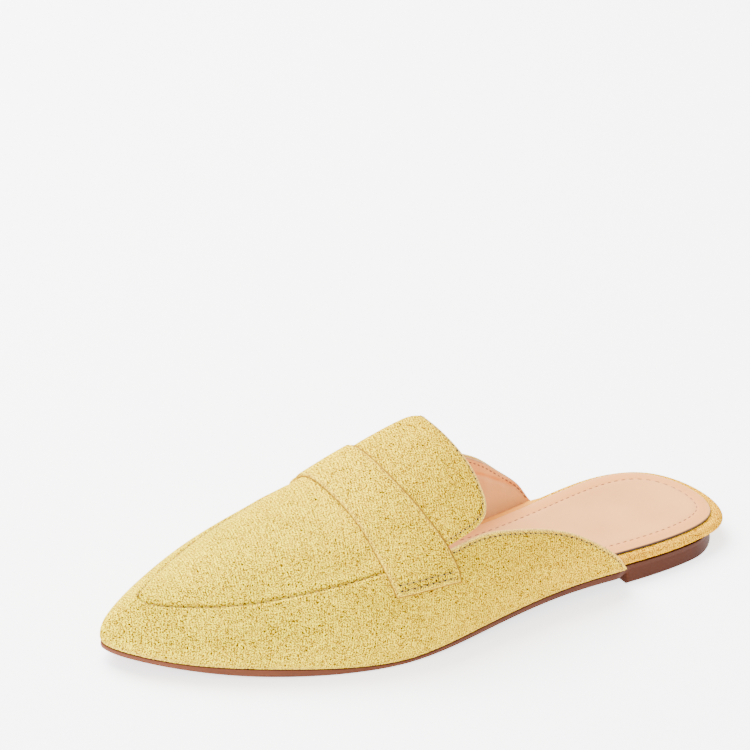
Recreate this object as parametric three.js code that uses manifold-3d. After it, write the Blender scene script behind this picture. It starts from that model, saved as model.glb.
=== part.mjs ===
// Pointed flat mule for the left foot: a suede slip-on with an apron seam, a saddle strap,
// a standing tongue, an open back and a moulded sole with a low heel.
// Millimetres, +Z up, the toe points along -Y and the outer side of the foot is +X.
// The origin is on the ground below the middle of the shoe.

import * as THREE from 'three';
import { mergeVertices } from 'three/addons/utils/BufferGeometryUtils.js';
import Module from 'manifold-3d';

// Driving dimensions
const LENGTH = 262;
const BALL_WIDTH = 77;
const INSTEP_HEIGHT = 60;
const RIDGE_SHIFT = 12;
const TOE_SPRING = 5.1;
const TOE_DOME = 13;
const TOE_DOME_END = 0.35;
const SIDE_BULGE = 3.5;
const BULGE_END = 0.55;
const SECTION_FULLNESS = 0.07;

const SOLE_THICKNESS = 2.2;
const ARCH_RISE = 3.7;
const SOLE_INSET = 0.3;
const HEEL_FRONT = 0.764;
const HEEL_SIDE_INSET = 3.0;
const HEEL_BACK_INSET = 6.3;
const HEEL_FLARE = 1.0;
const HEEL_BACK = { from: 0.9, to: 0.99 };
const HEEL_BLEND = { before: 0.012, after: 0.014 };
const HEEL_IN_PLATE = 0.5;

const UPPER_WALL = 1.8;
const QUARTER_END = 0.752;
const SEAM_DEPTH = 0.5;
const SEAM_HALF_WIDTH = 1.1;
const SEAM_FADE = { gap: 0.012, run: 0.02 };
const QUARTER_END_RISE = 0.02;

const FOOTBED_THICKNESS = 2.9;
const RIM_SIDE_INSET = 0.9;
const RIM_BACK_OVERHANG = 0.6;
const INSOLE_THICKNESS = 1.0;
const INSOLE_MARGIN = 4.2;
const INSOLE_FRONT_MARGIN = 1.2;
const INSOLE_WIDENING = { from: 0.3, to: 0.5 };
const INSOLE_PAD = 0.15;
const INSOLE_DISH = 0.5;

const STRAP_THICKNESS = 1.5;
const STRAP_EDGE_DROP = 0.45;
const TONGUE_THICKNESS = 1.8;
const TONGUE_END = 0.497;
const TONGUE_SWEEP = 0.058;
const TONGUE_CORNER = 0.43;
const TONGUE_ROUNDNESS = 3;
const TONGUE_GAP = 0.48;
const THROAT = 0.383;

const FOOTBED_START = 0.03;
const INSOLE_START = 0.055;

const CLEARANCE = 0.3;
const WEAR_FLAT = 0.02;

// Half widths of the last at its bottom edge, as shares of the ball width
const OUTLINE_ROWS = [
  { along: 0.0, outer: 0.0, inner: 0.0 },
  { along: 0.024, outer: 0.136, inner: 0.099 },
  { along: 0.095, outer: 0.308, inner: 0.246 },
  { along: 0.206, outer: 0.474, inner: 0.395 },
  { along: 0.345, outer: 0.572, inner: 0.425 },
  { along: 0.5, outer: 0.512, inner: 0.257 },
  { along: 0.655, outer: 0.438, inner: 0.239 },
  { along: 0.794, outer: 0.412, inner: 0.336 },
  { along: 0.905, outer: 0.357, inner: 0.377 },
  { along: 0.976, outer: 0.229, inner: 0.253 },
  { along: 1.0, outer: 0.0, inner: 0.0 },
];

// Bottom of the sole: shares of the toe spring and of the arch rise; thickness is a share too
const SOLE_ROWS = [
  { along: 0.0, spring: 1.0, arch: 0.0, thickness: 0.77 },
  { along: 0.06, spring: 0.59, arch: 0.0, thickness: 0.87 },
  { along: 0.15, spring: 0.155, arch: 0.0, thickness: 1.27 },
  { along: 0.26, spring: 0.0, arch: 0.0, thickness: 1.0 },
  { along: 0.36, spring: 0.0, arch: 0.0, thickness: 0.65 },
  { along: 0.44, spring: 0.0, arch: 0.16, thickness: 0.9 },
  { along: 0.55, spring: 0.0, arch: 0.66, thickness: 1.03 },
  { along: 0.66, spring: 0.0, arch: 1.0, thickness: 1.15 },
  { along: 0.79, spring: 0.0, arch: 0.95, thickness: 1.3 },
  { along: 1.0, spring: 0.0, arch: 0.9, thickness: 1.0 },
];

// Top line of the last: height as a share of the instep height, shift towards the outer side
const RIDGE_ROWS = [
  { along: 0.05, height: 0.368, shift: 0.1 },
  { along: 0.12, height: 0.464, shift: 0.21 },
  { along: 0.2, height: 0.577, shift: 0.23 },
  { along: 0.3, height: 0.697, shift: -0.08 },
  { along: 0.4, height: 0.9, shift: -0.51 },
  { along: 0.5, height: 1.03, shift: -0.73 },
  { along: 0.6, height: 0.99, shift: -0.79 },
  { along: 0.78, height: 0.93, shift: -0.8 },
];

// Cross-section: how full its shoulder is, as a share of the section fullness, and how far each
// wall bulges, as a share of the side bulge
const SECTION_ROWS = [
  { along: 0.0, fullness: -0.43, outer: 0.37, inner: 0.25 },
  { along: 0.08, fullness: -0.35, outer: 0.85, inner: 0.6 },
  { along: 0.3, fullness: 0.29, outer: 1.0, inner: 1.0 },
  { along: 0.42, fullness: -0.05, outer: 1.0, inner: 1.7 },
  { along: 0.53, fullness: -0.37, outer: 1.0, inner: 2.5 },
  { along: 0.62, fullness: -0.57, outer: 1.0, inner: 2.1 },
  { along: 0.752, fullness: -0.57, outer: 1.0, inner: 1.0 },
];

// Apron seam: height up each wall, 0 at the sole and 1 at the top line of the last
const SEAM_ROWS = [
  { along: 0.0, outer: 0.955, inner: 0.955 },
  { along: 0.004, outer: 0.91, inner: 0.92 },
  { along: 0.022, outer: 0.735, inner: 0.78 },
  { along: 0.042, outer: 0.664, inner: 0.7 },
  { along: 0.066, outer: 0.61, inner: 0.637 },
  { along: 0.105, outer: 0.552, inner: 0.565 },
  { along: 0.156, outer: 0.512, inner: 0.528 },
  { along: 0.208, outer: 0.499, inner: 0.524 },
  { along: 0.26, outer: 0.493, inner: 0.534 },
  { along: 0.31, outer: 0.477, inner: 0.541 },
  { along: 0.36, outer: 0.449, inner: 0.541 },
  { along: 0.43, outer: 0.411, inner: 0.47 },
];

// Top edge of the quarters behind the strap, down to their ends on the sole
const TOPLINE_ROWS = [
  { along: 0.383, outer: 0.436, inner: 0.515 },
  { along: 0.425, outer: 0.408, inner: 0.47 },
  { along: 0.483, outer: 0.394, inner: 0.45 },
  { along: 0.55, outer: 0.363, inner: 0.44 },
  { along: 0.617, outer: 0.319, inner: 0.388 },
  { along: 0.66, outer: 0.26, inner: 0.312 },
  { along: 0.7, outer: 0.175, inner: 0.205 },
  { along: 0.735, outer: 0.08, inner: 0.1 },
  { along: 0.752, outer: 0.02, inner: 0.02 },
];

// Saddle strap from its outer end to its inner end: place across and its two edges
const STRAP_ROWS = [
  { across: 0.31, front: 0.336, rear: 0.431 },
  { across: 0.47, front: 0.331, rear: 0.42 },
  { across: 0.7, front: 0.329, rear: 0.402 },
  { across: 1.0, front: 0.33, rear: 0.396 },
  { across: 1.25, front: 0.338, rear: 0.404 },
  { across: 1.5, front: 0.352, rear: 0.43 },
  { across: 1.66, front: 0.364, rear: 0.447 },
];
const STRAP_END_SLOPE = 0.07;

// Rounded edges, from the underside to the top: millimetres inwards, share of the thickness
const PLATE_RINGS = [
  { inset: 0.9, height: 0 },
  { inset: 0.25, height: 0.22 },
  { inset: 0, height: 0.6 },
  { inset: 0.15, height: 1 },
];
const HEEL_RINGS = [
  { inset: 0.5, height: 0 },
  { inset: 0.1, height: 0.1 },
  { inset: 0, height: 0.6 },
  { inset: 0.3, height: 1 },
];
const FOOTBED_RINGS = [
  { inset: 0.9, height: 0 },
  { inset: 0.15, height: 0.22 },
  { inset: 0, height: 0.45 },
  { inset: 0.42, height: 0.72 },
  { inset: 1.5, height: 0.93 },
  { inset: 3.0, height: 1 },
];

// Cross-section of the insole, in millimetres inwards and above the footbed
const INSOLE_RINGS = [
  { inset: 0, height: 0 },
  { inset: 0, height: INSOLE_THICKNESS * 0.75 },
  { inset: 0.4, height: INSOLE_THICKNESS },
  { inset: 4.5, height: INSOLE_THICKNESS + INSOLE_PAD },
  { inset: 7, height: INSOLE_THICKNESS + INSOLE_PAD - INSOLE_DISH },
];

// Smooth curve through the rows of a table, with free ends
function curveThrough(places, values) {
  const count = places.length;
  const bend = new Array(count).fill(0);
  const upper = new Array(count).fill(0);
  for (let i = 1; i < count - 1; i++) {
    const before = places[i] - places[i - 1];
    const after = places[i + 1] - places[i];
    const slopes = (values[i + 1] - values[i]) / after - (values[i] - values[i - 1]) / before;
    const pivot = 2 * (before + after) - before * upper[i - 1];
    upper[i] = after / pivot;
    bend[i] = (6 * slopes - before * bend[i - 1]) / pivot;
  }
  for (let i = count - 2; i > 0; i--) bend[i] -= upper[i] * bend[i + 1];
  return (place) => {
    const x = Math.min(Math.max(place, places[0]), places[count - 1]);
    let i = 0;
    while (i < count - 2 && x > places[i + 1]) i++;
    const step = places[i + 1] - places[i];
    const a = (places[i + 1] - x) / step;
    const b = (x - places[i]) / step;
    const sag = ((a ** 3 - a) * bend[i] + (b ** 3 - b) * bend[i + 1]) * (step * step) / 6;
    return a * values[i] + b * values[i + 1] + sag;
  };
}

// Straight lines through the rows of a table
function linesThrough(places, values) {
  return (place) => {
    const last = places.length - 1;
    const x = Math.min(Math.max(place, places[0]), places[last]);
    let i = 0;
    while (i < last - 1 && x > places[i + 1]) i++;
    return values[i] + (values[i + 1] - values[i]) * (x - places[i]) / (places[i + 1] - places[i]);
  };
}

// A turn of 0 is the toe tip and pi is the back of the heel, so that both ends come out round
const turnAt = (along) => Math.acos(1 - 2 * along);
const alongAt = (turn) => (1 - Math.cos(turn)) / 2;
const column = (rows, name) => rows.map((row) => row[name]);
const turnCurve = (rows, name) => curveThrough(column(rows, 'along').map(turnAt), column(rows, name));
const alongCurve = (rows, name) => curveThrough(column(rows, 'along'), column(rows, name));

const outlineShare = {
  outer: turnCurve(OUTLINE_ROWS, 'outer'),
  inner: turnCurve(OUTLINE_ROWS, 'inner'),
};
const springShare = alongCurve(SOLE_ROWS, 'spring');
const archShare = alongCurve(SOLE_ROWS, 'arch');
const thicknessShare = alongCurve(SOLE_ROWS, 'thickness');
const ridgeShare = alongCurve(RIDGE_ROWS, 'height');
const ridgeShift = alongCurve(RIDGE_ROWS, 'shift');
const sectionShare = (name) => linesThrough(column(SECTION_ROWS, 'along'), column(SECTION_ROWS, name));
const fullnessShare = sectionShare('fullness');
const bulgeShare = { outer: sectionShare('outer'), inner: sectionShare('inner') };
const seamTurns = column(SEAM_ROWS, 'along').map(turnAt);
const seamLine = {
  outer: linesThrough(seamTurns, column(SEAM_ROWS, 'outer')),
  inner: linesThrough(seamTurns, column(SEAM_ROWS, 'inner')),
};
const topline = { outer: alongCurve(TOPLINE_ROWS, 'outer'), inner: alongCurve(TOPLINE_ROWS, 'inner') };
const strapAcross = column(STRAP_ROWS, 'across');
const strapFront = curveThrough(strapAcross, column(STRAP_ROWS, 'front'));
const strapRear = curveThrough(strapAcross, column(STRAP_ROWS, 'rear'));

const sideSign = { outer: 1, inner: -1 };
const mix = (a, b, share) => a + (b - a) * share;
const smoothStep = THREE.MathUtils.smoothstep;
const yAt = (along) => (along - 0.5) * LENGTH;
const alongOf = (y) => Math.min(Math.max(y / LENGTH + 0.5, 0), 1);

// Heights of the sole's bottom and top and of the edge where the upper meets the sole
function soleBottom(along) {
  const height = springShare(along) * TOE_SPRING + archShare(along) * ARCH_RISE;
  return height < WEAR_FLAT ? 0 : height;
}
const soleTop = (along) => soleBottom(along) + thicknessShare(along) * SOLE_THICKNESS;
const feather = (along) => soleTop(along) + CLEARANCE;

// A point of the last's bottom outline, moved inwards by an inset
function outlinePoint(side, turn, inset = 0) {
  const sign = sideSign[side];
  const half = (at) => sign * outlineShare[side](Math.min(Math.max(at, 0), Math.PI)) * BALL_WIDTH;
  const step = 1e-3;
  const low = Math.max(turn - step, 0);
  const high = Math.min(turn + step, Math.PI);
  const runX = (half(high) - half(low)) / (high - low);
  const atEnd = turn < step || turn > Math.PI - step;
  const runY = atEnd ? 0 : Math.sin(turn) * LENGTH / 2;
  const run = Math.hypot(runX, runY);
  const normalX = sign * runY / run;
  const normalY = -sign * runX / run;
  const x = half(turn) - inset * normalX;
  const y = yAt(alongAt(turn)) - inset * normalY;
  return { x, y, normalX, normalY };
}

// The last's surface: across runs from 0 at the outer bottom edge over 1 at the top line
// to 2 at the inner bottom edge
function lastPoint(turn, across) {
  const at = Math.abs(turn);
  const place = turn < 0 ? 2 - across : across;
  const side = place <= 1 ? 'outer' : 'inner';
  const rise = Math.max(place <= 1 ? place : 2 - place, 0);
  const along = alongAt(at);
  const edge = outlinePoint(side, at);
  const domed = Math.max(1 - along / TOE_DOME_END, 0);
  const topAlong = along + (TOE_DOME / LENGTH) * domed * domed;
  const topX = ridgeShift(topAlong) * RIDGE_SHIFT;
  const topY = yAt(topAlong);
  const topZ = ridgeShare(topAlong) * INSTEP_HEIGHT;
  const angle = rise * Math.PI / 2;
  const shoulder = fullnessShare(along) * SECTION_FULLNESS * Math.sin(2 * angle) ** 2;
  const out = Math.cos(angle) + shoulder;
  const up = Math.sin(angle) + shoulder;
  const bulge = bulgeShare[side](along) * SIDE_BULGE * Math.sin(Math.PI * Math.min(rise / BULGE_END, 1));
  return new THREE.Vector3(
    mix(topX, edge.x, out) + bulge * edge.normalX,
    mix(topY, edge.y, out) + bulge * edge.normalY,
    mix(feather(along), topZ, up),
  );
}

// Outward direction of the last's surface
function lastNormal(turn, across) {
  const step = 0.01;
  const nearPole = Math.abs(turn) < 0.05 && Math.abs(across - 1) < 0.05;
  const at = nearPole ? 0.05 : turn;
  const alongRun = lastPoint(at + step, across).sub(lastPoint(at - step, across));
  if (alongRun.length() < 1e-6) alongRun.copy(lastPoint(at + step, across).sub(lastPoint(at, across)));
  const low = Math.max(across - step, 0);
  const high = Math.min(across + step, 2);
  const acrossRun = lastPoint(at, high).sub(lastPoint(at, low));
  return alongRun.cross(acrossRun).normalize();
}

// A point at a height above the last's surface, below it where the lift is negative
function shellPoint(turn, across, lift) {
  return lastPoint(turn, across).addScaledVector(lastNormal(turn, across), lift);
}

// Collects faces of one closed solid
class Skin {
  constructor() {
    this.corners = [];
  }

  triangle(a, b, c) {
    const small = 1e-4;
    if (a.distanceTo(b) < small || b.distanceTo(c) < small || c.distanceTo(a) < small) return;
    this.corners.push(...a.toArray(), ...b.toArray(), ...c.toArray());
  }

  // Rows and columns of points; the faces look along rows x columns, or the other way
  sheet(rows, turned = false) {
    for (let i = 0; i < rows.length - 1; i++) {
      for (let j = 0; j < rows[i].length - 1; j++) {
        const [a, b, c, d] = [rows[i][j], rows[i + 1][j], rows[i + 1][j + 1], rows[i][j + 1]];
        const shortFirst = a.distanceTo(c) <= b.distanceTo(d);
        const faces = shortFirst ? [[a, b, c], [a, c, d]] : [[a, b, d], [b, c, d]];
        for (const [p, q, r] of faces) {
          if (turned) this.triangle(p, r, q);
          else this.triangle(p, q, r);
        }
      }
    }
  }

  geometry() {
    const loose = new THREE.BufferGeometry();
    loose.setAttribute('position', new THREE.Float32BufferAttribute(this.corners, 3));
    return mergeVertices(loose, 1e-3);
  }
}

// Stations along the shoe, close together at the toe, with given stops
function stations(stops, counts) {
  const turns = [turnAt(stops[0])];
  for (let k = 0; k < counts.length; k++) {
    const from = turnAt(stops[k]);
    const to = turnAt(stops[k + 1]);
    for (let i = 1; i <= counts[k]; i++) turns.push(mix(from, to, i / counts[k]));
  }
  return turns;
}

// Edge of the wall below the apron: the apron seam, then the topline of the quarters
function wallTop(side, turn) {
  const along = alongAt(turn);
  return along < THROAT ? seamLine[side](turn) : Math.max(topline[side](along), QUARTER_END_RISE);
}

const placeOn = (side, rise) => (side === 'outer' ? rise : 2 - rise);

// Length of the wall's rib from the sole to the top line, for turning widths into shares
function ribLength(turn, side) {
  const parts = 12;
  let total = 0;
  for (let k = 0; k < parts; k++) {
    const from = lastPoint(turn, placeOn(side, k / parts));
    total += from.distanceTo(lastPoint(turn, placeOn(side, (k + 1) / parts)));
  }
  return total;
}

// Vamp, apron and quarters as one hollow wall, open underneath, at the throat and behind
function upperGeometry() {
  const skin = new Skin();
  const turns = stations([0, 0.05, THROAT, QUARTER_END], [6, 14, 16]);
  const throatIndex = 20;
  const wallShares = [0, 0.1, 0.22, 0.36, 0.52, 0.68, 0.84];
  const apronParts = 6;

  const seamFade = (turn) => {
    const along = alongAt(turn);
    return Math.min(1, Math.max(0, (strapFront(1) - SEAM_FADE.gap - along) / SEAM_FADE.run));
  };

  // Columns of one rib: the wall up to the seam, the seam's groove, the apron up to the top line
  function ribColumns(side, turn, index) {
    const top = wallTop(side, turn);
    const onVamp = index <= throatIndex;
    const half = onVamp ? SEAM_HALF_WIDTH / ribLength(turn, side) : 0;
    const columns = wallShares.map((share) => ({ rise: share * (top - half), groove: 0 }));
    columns.push({ rise: top - half, groove: 0 });
    columns.push({ rise: top, groove: onVamp ? seamFade(turn) : 0 });
    if (!onVamp) return columns;
    const start = Math.min(top + half, 1);
    for (let k = 0; k <= apronParts; k++) columns.push({ rise: mix(start, 1, k / apronParts), groove: 0 });
    return columns;
  }

  const wallCount = wallShares.length + 2;
  const faceRows = (side, inside) => turns.map((turn, index) => {
    return ribColumns(side, turn, index).map(({ rise, groove }) => {
      const lift = inside ? -UPPER_WALL : -groove * SEAM_DEPTH;
      const point = shellPoint(turn, placeOn(side, rise), lift);
      if (rise === 0) point.z = feather(alongAt(turn));
      return point;
    });
  });

  // Both sides share the rib at the toe tip and the top line of the last
  function sharedRows(inside) {
    const rows = { outer: faceRows('outer', inside), inner: faceRows('inner', inside) };
    rows.inner[0] = rows.outer[0];
    for (let i = 0; i <= throatIndex; i++) rows.inner[i].splice(-1, 1, rows.outer[i].at(-1));
    return rows;
  }
  const outsideRows = sharedRows(false);
  const insideRows = sharedRows(true);

  for (const side of ['outer', 'inner']) {
    const outerSide = side === 'outer';
    const outside = outsideRows[side];
    const inside = insideRows[side];
    const wall = (rows) => rows.map((row) => row.slice(0, wallCount));
    const apron = (rows) => rows.slice(0, throatIndex + 1).map((row) => row.slice(wallCount - 1));
    skin.sheet(wall(outside), !outerSide);
    skin.sheet(wall(inside), outerSide);
    skin.sheet(apron(outside), !outerSide);
    skin.sheet(apron(inside), outerSide);

    const foot = turns.map((turn, i) => [outside[i][0], inside[i][0]]);
    skin.sheet(foot, outerSide);
    const collar = turns.slice(throatIndex).map((turn, i) => {
      const row = throatIndex + i;
      return [outside[row][wallCount - 1], inside[row][wallCount - 1]];
    });
    skin.sheet(collar, !outerSide);
    const last = turns.length - 1;
    const end = [outside[last].slice(0, wallCount), inside[last].slice(0, wallCount)];
    skin.sheet(end, !outerSide);
    const throat = [outside[throatIndex].slice(wallCount - 1), inside[throatIndex].slice(wallCount - 1)];
    skin.sheet(throat, !outerSide);
  }
  return skin.geometry();
}

// A flat strip of material laid on the last between two lifts, as a grid over its own outline
function layerGeometry(gridPoint, rowCount, columnCount, low, high, edgeDrop = 0) {
  const skin = new Skin();
  const grid = (top) => {
    const rows = [];
    for (let i = 0; i <= rowCount; i++) {
      const row = [];
      for (let j = 0; j <= columnCount; j++) {
        const onEdge = i === 0 || j === 0 || i === rowCount || j === columnCount;
        const lift = top ? high - (onEdge ? edgeDrop : 0) : low;
        row.push(gridPoint(i / rowCount, j / columnCount, lift));
      }
      rows.push(row);
    }
    return rows;
  };
  const above = grid(true);
  const below = grid(false);
  skin.sheet(above);
  skin.sheet(below, true);
  const edge = (points, turned) => skin.sheet(points, turned);
  edge([above[0], below[0]], true);
  edge([above[rowCount], below[rowCount]], false);
  edge([above.map((row) => row[0]), below.map((row) => row[0])], false);
  edge([above.map((row) => row[columnCount]), below.map((row) => row[columnCount])], true);
  return skin.geometry();
}

// Tongue: the apron carried on from under the strap as a standing tab with round corners
function tongueGeometry() {
  const start = THROAT + CLEARANCE / LENGTH;
  const gridPoint = (down, over, lift) => {
    const share = Math.sin(mix(-1, 1, over) * Math.PI / 2);
    const reach = (1 - Math.abs(share) ** TONGUE_ROUNDNESS) ** (1 / TONGUE_ROUNDNESS);
    const end = mix(TONGUE_CORNER, TONGUE_END + TONGUE_SWEEP * share * share, reach);
    const along = mix(start, end, down);
    const turn = turnAt(along);
    const side = share < 0 ? 'outer' : 'inner';
    const edge = Math.max(seamLine[side](turn), topline[side](along));
    const gap = TONGUE_GAP / ribLength(turn, side);
    const rise = mix(1, edge + gap, Math.abs(share));
    return shellPoint(turn, placeOn(side, rise), lift);
  };
  return layerGeometry(gridPoint, 8, 22, -TONGUE_THICKNESS, 0);
}

// Saddle strap: laid over the apron and both walls, wider at its ends
function strapGeometry() {
  const first = strapAcross[0];
  const last = strapAcross[strapAcross.length - 1];
  const gridPoint = (down, over, lift) => {
    const lean = STRAP_END_SLOPE * (down - 0.5);
    const across = mix(first - lean, last + lean, over);
    const along = mix(strapFront(across), strapRear(across), down);
    return shellPoint(turnAt(along), across, lift);
  };
  return layerGeometry(gridPoint, 6, 30, CLEARANCE, CLEARANCE + STRAP_THICKNESS, STRAP_EDGE_DROP);
}

// Closed rings around the bottom outline, outer side first, joined into one solid
function ringedGeometry(turns, rings) {
  const skin = new Skin();
  const loops = rings.map((ring) => {
    const outer = turns.map((turn) => ring('outer', turn));
    const inner = turns.map((turn) => ring('inner', turn));
    return { outer, inner };
  });
  for (let k = 0; k < loops.length - 1; k++) {
    const low = loops[k];
    const high = loops[k + 1];
    skin.sheet(turns.map((turn, i) => [low.outer[i], high.outer[i]]));
    skin.sheet(turns.map((turn, i) => [low.inner[i], high.inner[i]]), true);
    skin.sheet([[low.outer[0], high.outer[0]], [low.inner[0], high.inner[0]]], true);
    const end = turns.length - 1;
    skin.sheet([[low.outer[end], high.outer[end]], [low.inner[end], high.inner[end]]]);
  }
  const bottom = loops[0];
  const top = loops[loops.length - 1];
  skin.sheet(turns.map((turn, i) => [bottom.inner[i], bottom.outer[i]]));
  skin.sheet(turns.map((turn, i) => [top.outer[i], top.inner[i]]));
  return skin.geometry();
}

// Shares of the way from the waist to the heel and from the heel's sides to its back
function heelShares(turn) {
  const along = alongAt(turn);
  return {
    toHeel: smoothStep(along, QUARTER_END - HEEL_BLEND.before, QUARTER_END + HEEL_BLEND.after),
    toBack: smoothStep(along, HEEL_BACK.from, HEEL_BACK.to),
  };
}

// How far the sole's edge stands in from the last's outline: little at the front, more at the heel
function soleInset(turn) {
  const { toHeel, toBack } = heelShares(turn);
  return mix(SOLE_INSET, mix(HEEL_SIDE_INSET, HEEL_BACK_INSET, toBack), toHeel);
}

// How far the footbed stands in: inside the upper's wall, then a little out over the heel's back
function footbedInset(turn) {
  const { toHeel, toBack } = heelShares(turn);
  return UPPER_WALL + CLEARANCE + toHeel * mix(RIM_SIDE_INSET, -RIM_BACK_OVERHANG, toBack);
}

// Sole plate with toe spring, ball, arch and thin waist
function soleTurns(start) {
  return stations([start, 0.08, 0.36, QUARTER_END, 1], [6, 12, 16, 16]);
}

function platePoint(side, turn, extraInset, share) {
  const spot = outlinePoint(side, turn, soleInset(turn) + extraInset);
  const along = alongOf(spot.y);
  return new THREE.Vector3(spot.x, spot.y, mix(soleBottom(along), soleTop(along), share));
}

function plateGeometry() {
  const rings = PLATE_RINGS.map(({ inset, height }) => (side, turn) => platePoint(side, turn, inset, height));
  return ringedGeometry(soleTurns(0), rings);
}

// Low heel, moulded on below the plate
function heelGeometry() {
  const turns = stations([HEEL_FRONT, 0.93, 1], [8, 10]);
  const rings = HEEL_RINGS.map(({ inset, height }) => (side, turn) => {
    const flare = HEEL_FLARE * (1 - height);
    const spot = outlinePoint(side, turn, soleInset(turn) + inset - flare);
    const along = alongOf(spot.y);
    const top = mix(soleBottom(along), soleTop(along), HEEL_IN_PLATE);
    return new THREE.Vector3(spot.x, spot.y, top * height);
  });
  return ringedGeometry(turns, rings);
}

// Joins closed meshes into one
const wasm = await Module();
wasm.setup();

function solidOf(geometry) {
  const bare = geometry.clone();
  bare.deleteAttribute('normal');
  bare.deleteAttribute('uv');
  const merged = mergeVertices(bare, 1e-3);
  return new wasm.Manifold(new wasm.Mesh({
    numProp: 3,
    vertProperties: new Float32Array(merged.attributes.position.array),
    triVerts: new Uint32Array(merged.index.array),
  }));
}

function geometryOf(solid) {
  const mesh = solid.getMesh();
  const geometry = new THREE.BufferGeometry();
  geometry.setAttribute('position', new THREE.BufferAttribute(new Float32Array(mesh.vertProperties), 3));
  geometry.setIndex(new THREE.BufferAttribute(new Uint32Array(mesh.triVerts), 1));
  return geometry;
}

// Outsole: plate and heel in one moulding
function outsoleGeometry() {
  return geometryOf(solidOf(plateGeometry()).add(solidOf(heelGeometry())));
}

// Footbed: a wrapped board that fills the floor of the shoe, with a rounded rim that shows behind
function footbedGeometry() {
  const turns = soleTurns(FOOTBED_START);
  const rings = FOOTBED_RINGS.map(({ inset, height }) => (side, turn) => {
    const spot = outlinePoint(side, turn, footbedInset(turn) + inset);
    return new THREE.Vector3(spot.x, spot.y, feather(alongOf(spot.y)) + height * FOOTBED_THICKNESS);
  });
  return ringedGeometry(turns, rings);
}

// Insole: a thin padded sock on the footbed, a little hollow in the middle
function insoleGeometry() {
  const turns = soleTurns(INSOLE_START);
  const wall = UPPER_WALL + CLEARANCE;
  const rings = INSOLE_RINGS.map(({ inset, height }) => (side, turn) => {
    const back = smoothStep(alongAt(turn), INSOLE_WIDENING.from, INSOLE_WIDENING.to);
    const margin = mix(INSOLE_FRONT_MARGIN, INSOLE_MARGIN, back);
    const spot = outlinePoint(side, turn, wall + margin + inset);
    const floor = feather(alongOf(spot.y)) + FOOTBED_THICKNESS + CLEARANCE;
    return new THREE.Vector3(spot.x, spot.y, floor + height);
  });
  return ringedGeometry(turns, rings);
}

const suede = new THREE.MeshStandardMaterial({ color: 0xe9c553, roughness: 0.95, metalness: 0 });
const strapSuede = new THREE.MeshStandardMaterial({ color: 0xe6c04e, roughness: 0.95, metalness: 0 });
const insoleSkin = new THREE.MeshStandardMaterial({ color: 0xe8c6b4, roughness: 0.6, metalness: 0 });
const soleRubber = new THREE.MeshStandardMaterial({ color: 0x7c4330, roughness: 0.5, metalness: 0 });

const shoe = new THREE.Group();
function addPiece(name, geometry, material) {
  geometry.computeVertexNormals();
  const piece = new THREE.Mesh(geometry, material);
  piece.name = name;
  shoe.add(piece);
}

addPiece('outsole', outsoleGeometry(), soleRubber);
addPiece('footbed', footbedGeometry(), suede);
addPiece('insole', insoleGeometry(), insoleSkin);
addPiece('upper', upperGeometry(), suede);
addPiece('tongue', tongueGeometry(), suede);
addPiece('strap', strapGeometry(), strapSuede);

// The origin goes below the middle of the shoe
const box = new THREE.Box3().setFromObject(shoe);
const middle = box.getCenter(new THREE.Vector3());
for (const piece of shoe.children) piece.geometry.translate(-middle.x, -middle.y, -box.min.z);

export default shoe;
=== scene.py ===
"""Left pointed flat mule: suede upper, apron seam, saddle strap, tongue and moulded sole."""

import logging
import math
from collections.abc import Callable, Sequence
from dataclasses import dataclass
from enum import Enum
from functools import partial

import bpy
import numpy as np
from mathutils import Matrix, Vector


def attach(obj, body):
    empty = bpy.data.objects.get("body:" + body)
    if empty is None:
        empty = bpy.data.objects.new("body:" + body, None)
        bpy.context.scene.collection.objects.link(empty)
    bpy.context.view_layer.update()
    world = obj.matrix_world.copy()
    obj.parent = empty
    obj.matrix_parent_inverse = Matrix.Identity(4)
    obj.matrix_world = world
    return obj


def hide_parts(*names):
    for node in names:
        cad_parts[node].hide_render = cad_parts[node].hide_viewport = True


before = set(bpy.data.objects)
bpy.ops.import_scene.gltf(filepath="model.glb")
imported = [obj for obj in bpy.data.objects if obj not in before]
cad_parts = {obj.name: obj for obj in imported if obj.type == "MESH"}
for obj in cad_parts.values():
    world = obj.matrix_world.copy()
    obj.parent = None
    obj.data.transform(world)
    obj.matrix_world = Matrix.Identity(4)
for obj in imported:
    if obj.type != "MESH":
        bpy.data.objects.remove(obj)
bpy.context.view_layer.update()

MM = 0.001
log = logging.getLogger("mule")
Curve = Callable[[np.ndarray], np.ndarray]
Lift = Callable[["Side", np.ndarray, np.ndarray], np.ndarray]
Ring = tuple[Curve, Curve]


class Side(Enum):
    """Side of the foot; the value is the sign of its x direction."""

    OUTER = 1
    INNER = -1


class Slot(Enum):
    """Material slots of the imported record."""

    SUEDE = "suede"
    INSOLE = "insole_leather"
    SOLE = "sole_rubber"


# ---- Shape of the last, in millimetres and shares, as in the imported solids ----

# along, outer and inner half width as shares of the ball width
OUTLINE = (
    (0.0, 0.0, 0.0), (0.024, 0.136, 0.099), (0.095, 0.308, 0.246), (0.206, 0.474, 0.395),
    (0.345, 0.572, 0.425), (0.5, 0.512, 0.257), (0.655, 0.438, 0.239), (0.794, 0.412, 0.336),
    (0.905, 0.357, 0.377), (0.976, 0.229, 0.253), (1.0, 0.0, 0.0),
)
# along, toe spring, arch, thickness of the sole
SOLE = (
    (0.0, 1.0, 0.0, 0.77), (0.06, 0.59, 0.0, 0.87), (0.15, 0.155, 0.0, 1.27), (0.26, 0.0, 0.0, 1.0),
    (0.36, 0.0, 0.0, 0.65), (0.44, 0.0, 0.16, 0.9), (0.55, 0.0, 0.66, 1.03), (0.66, 0.0, 1.0, 1.15),
    (0.79, 0.0, 0.95, 1.3), (1.0, 0.0, 0.9, 1.0),
)
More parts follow.
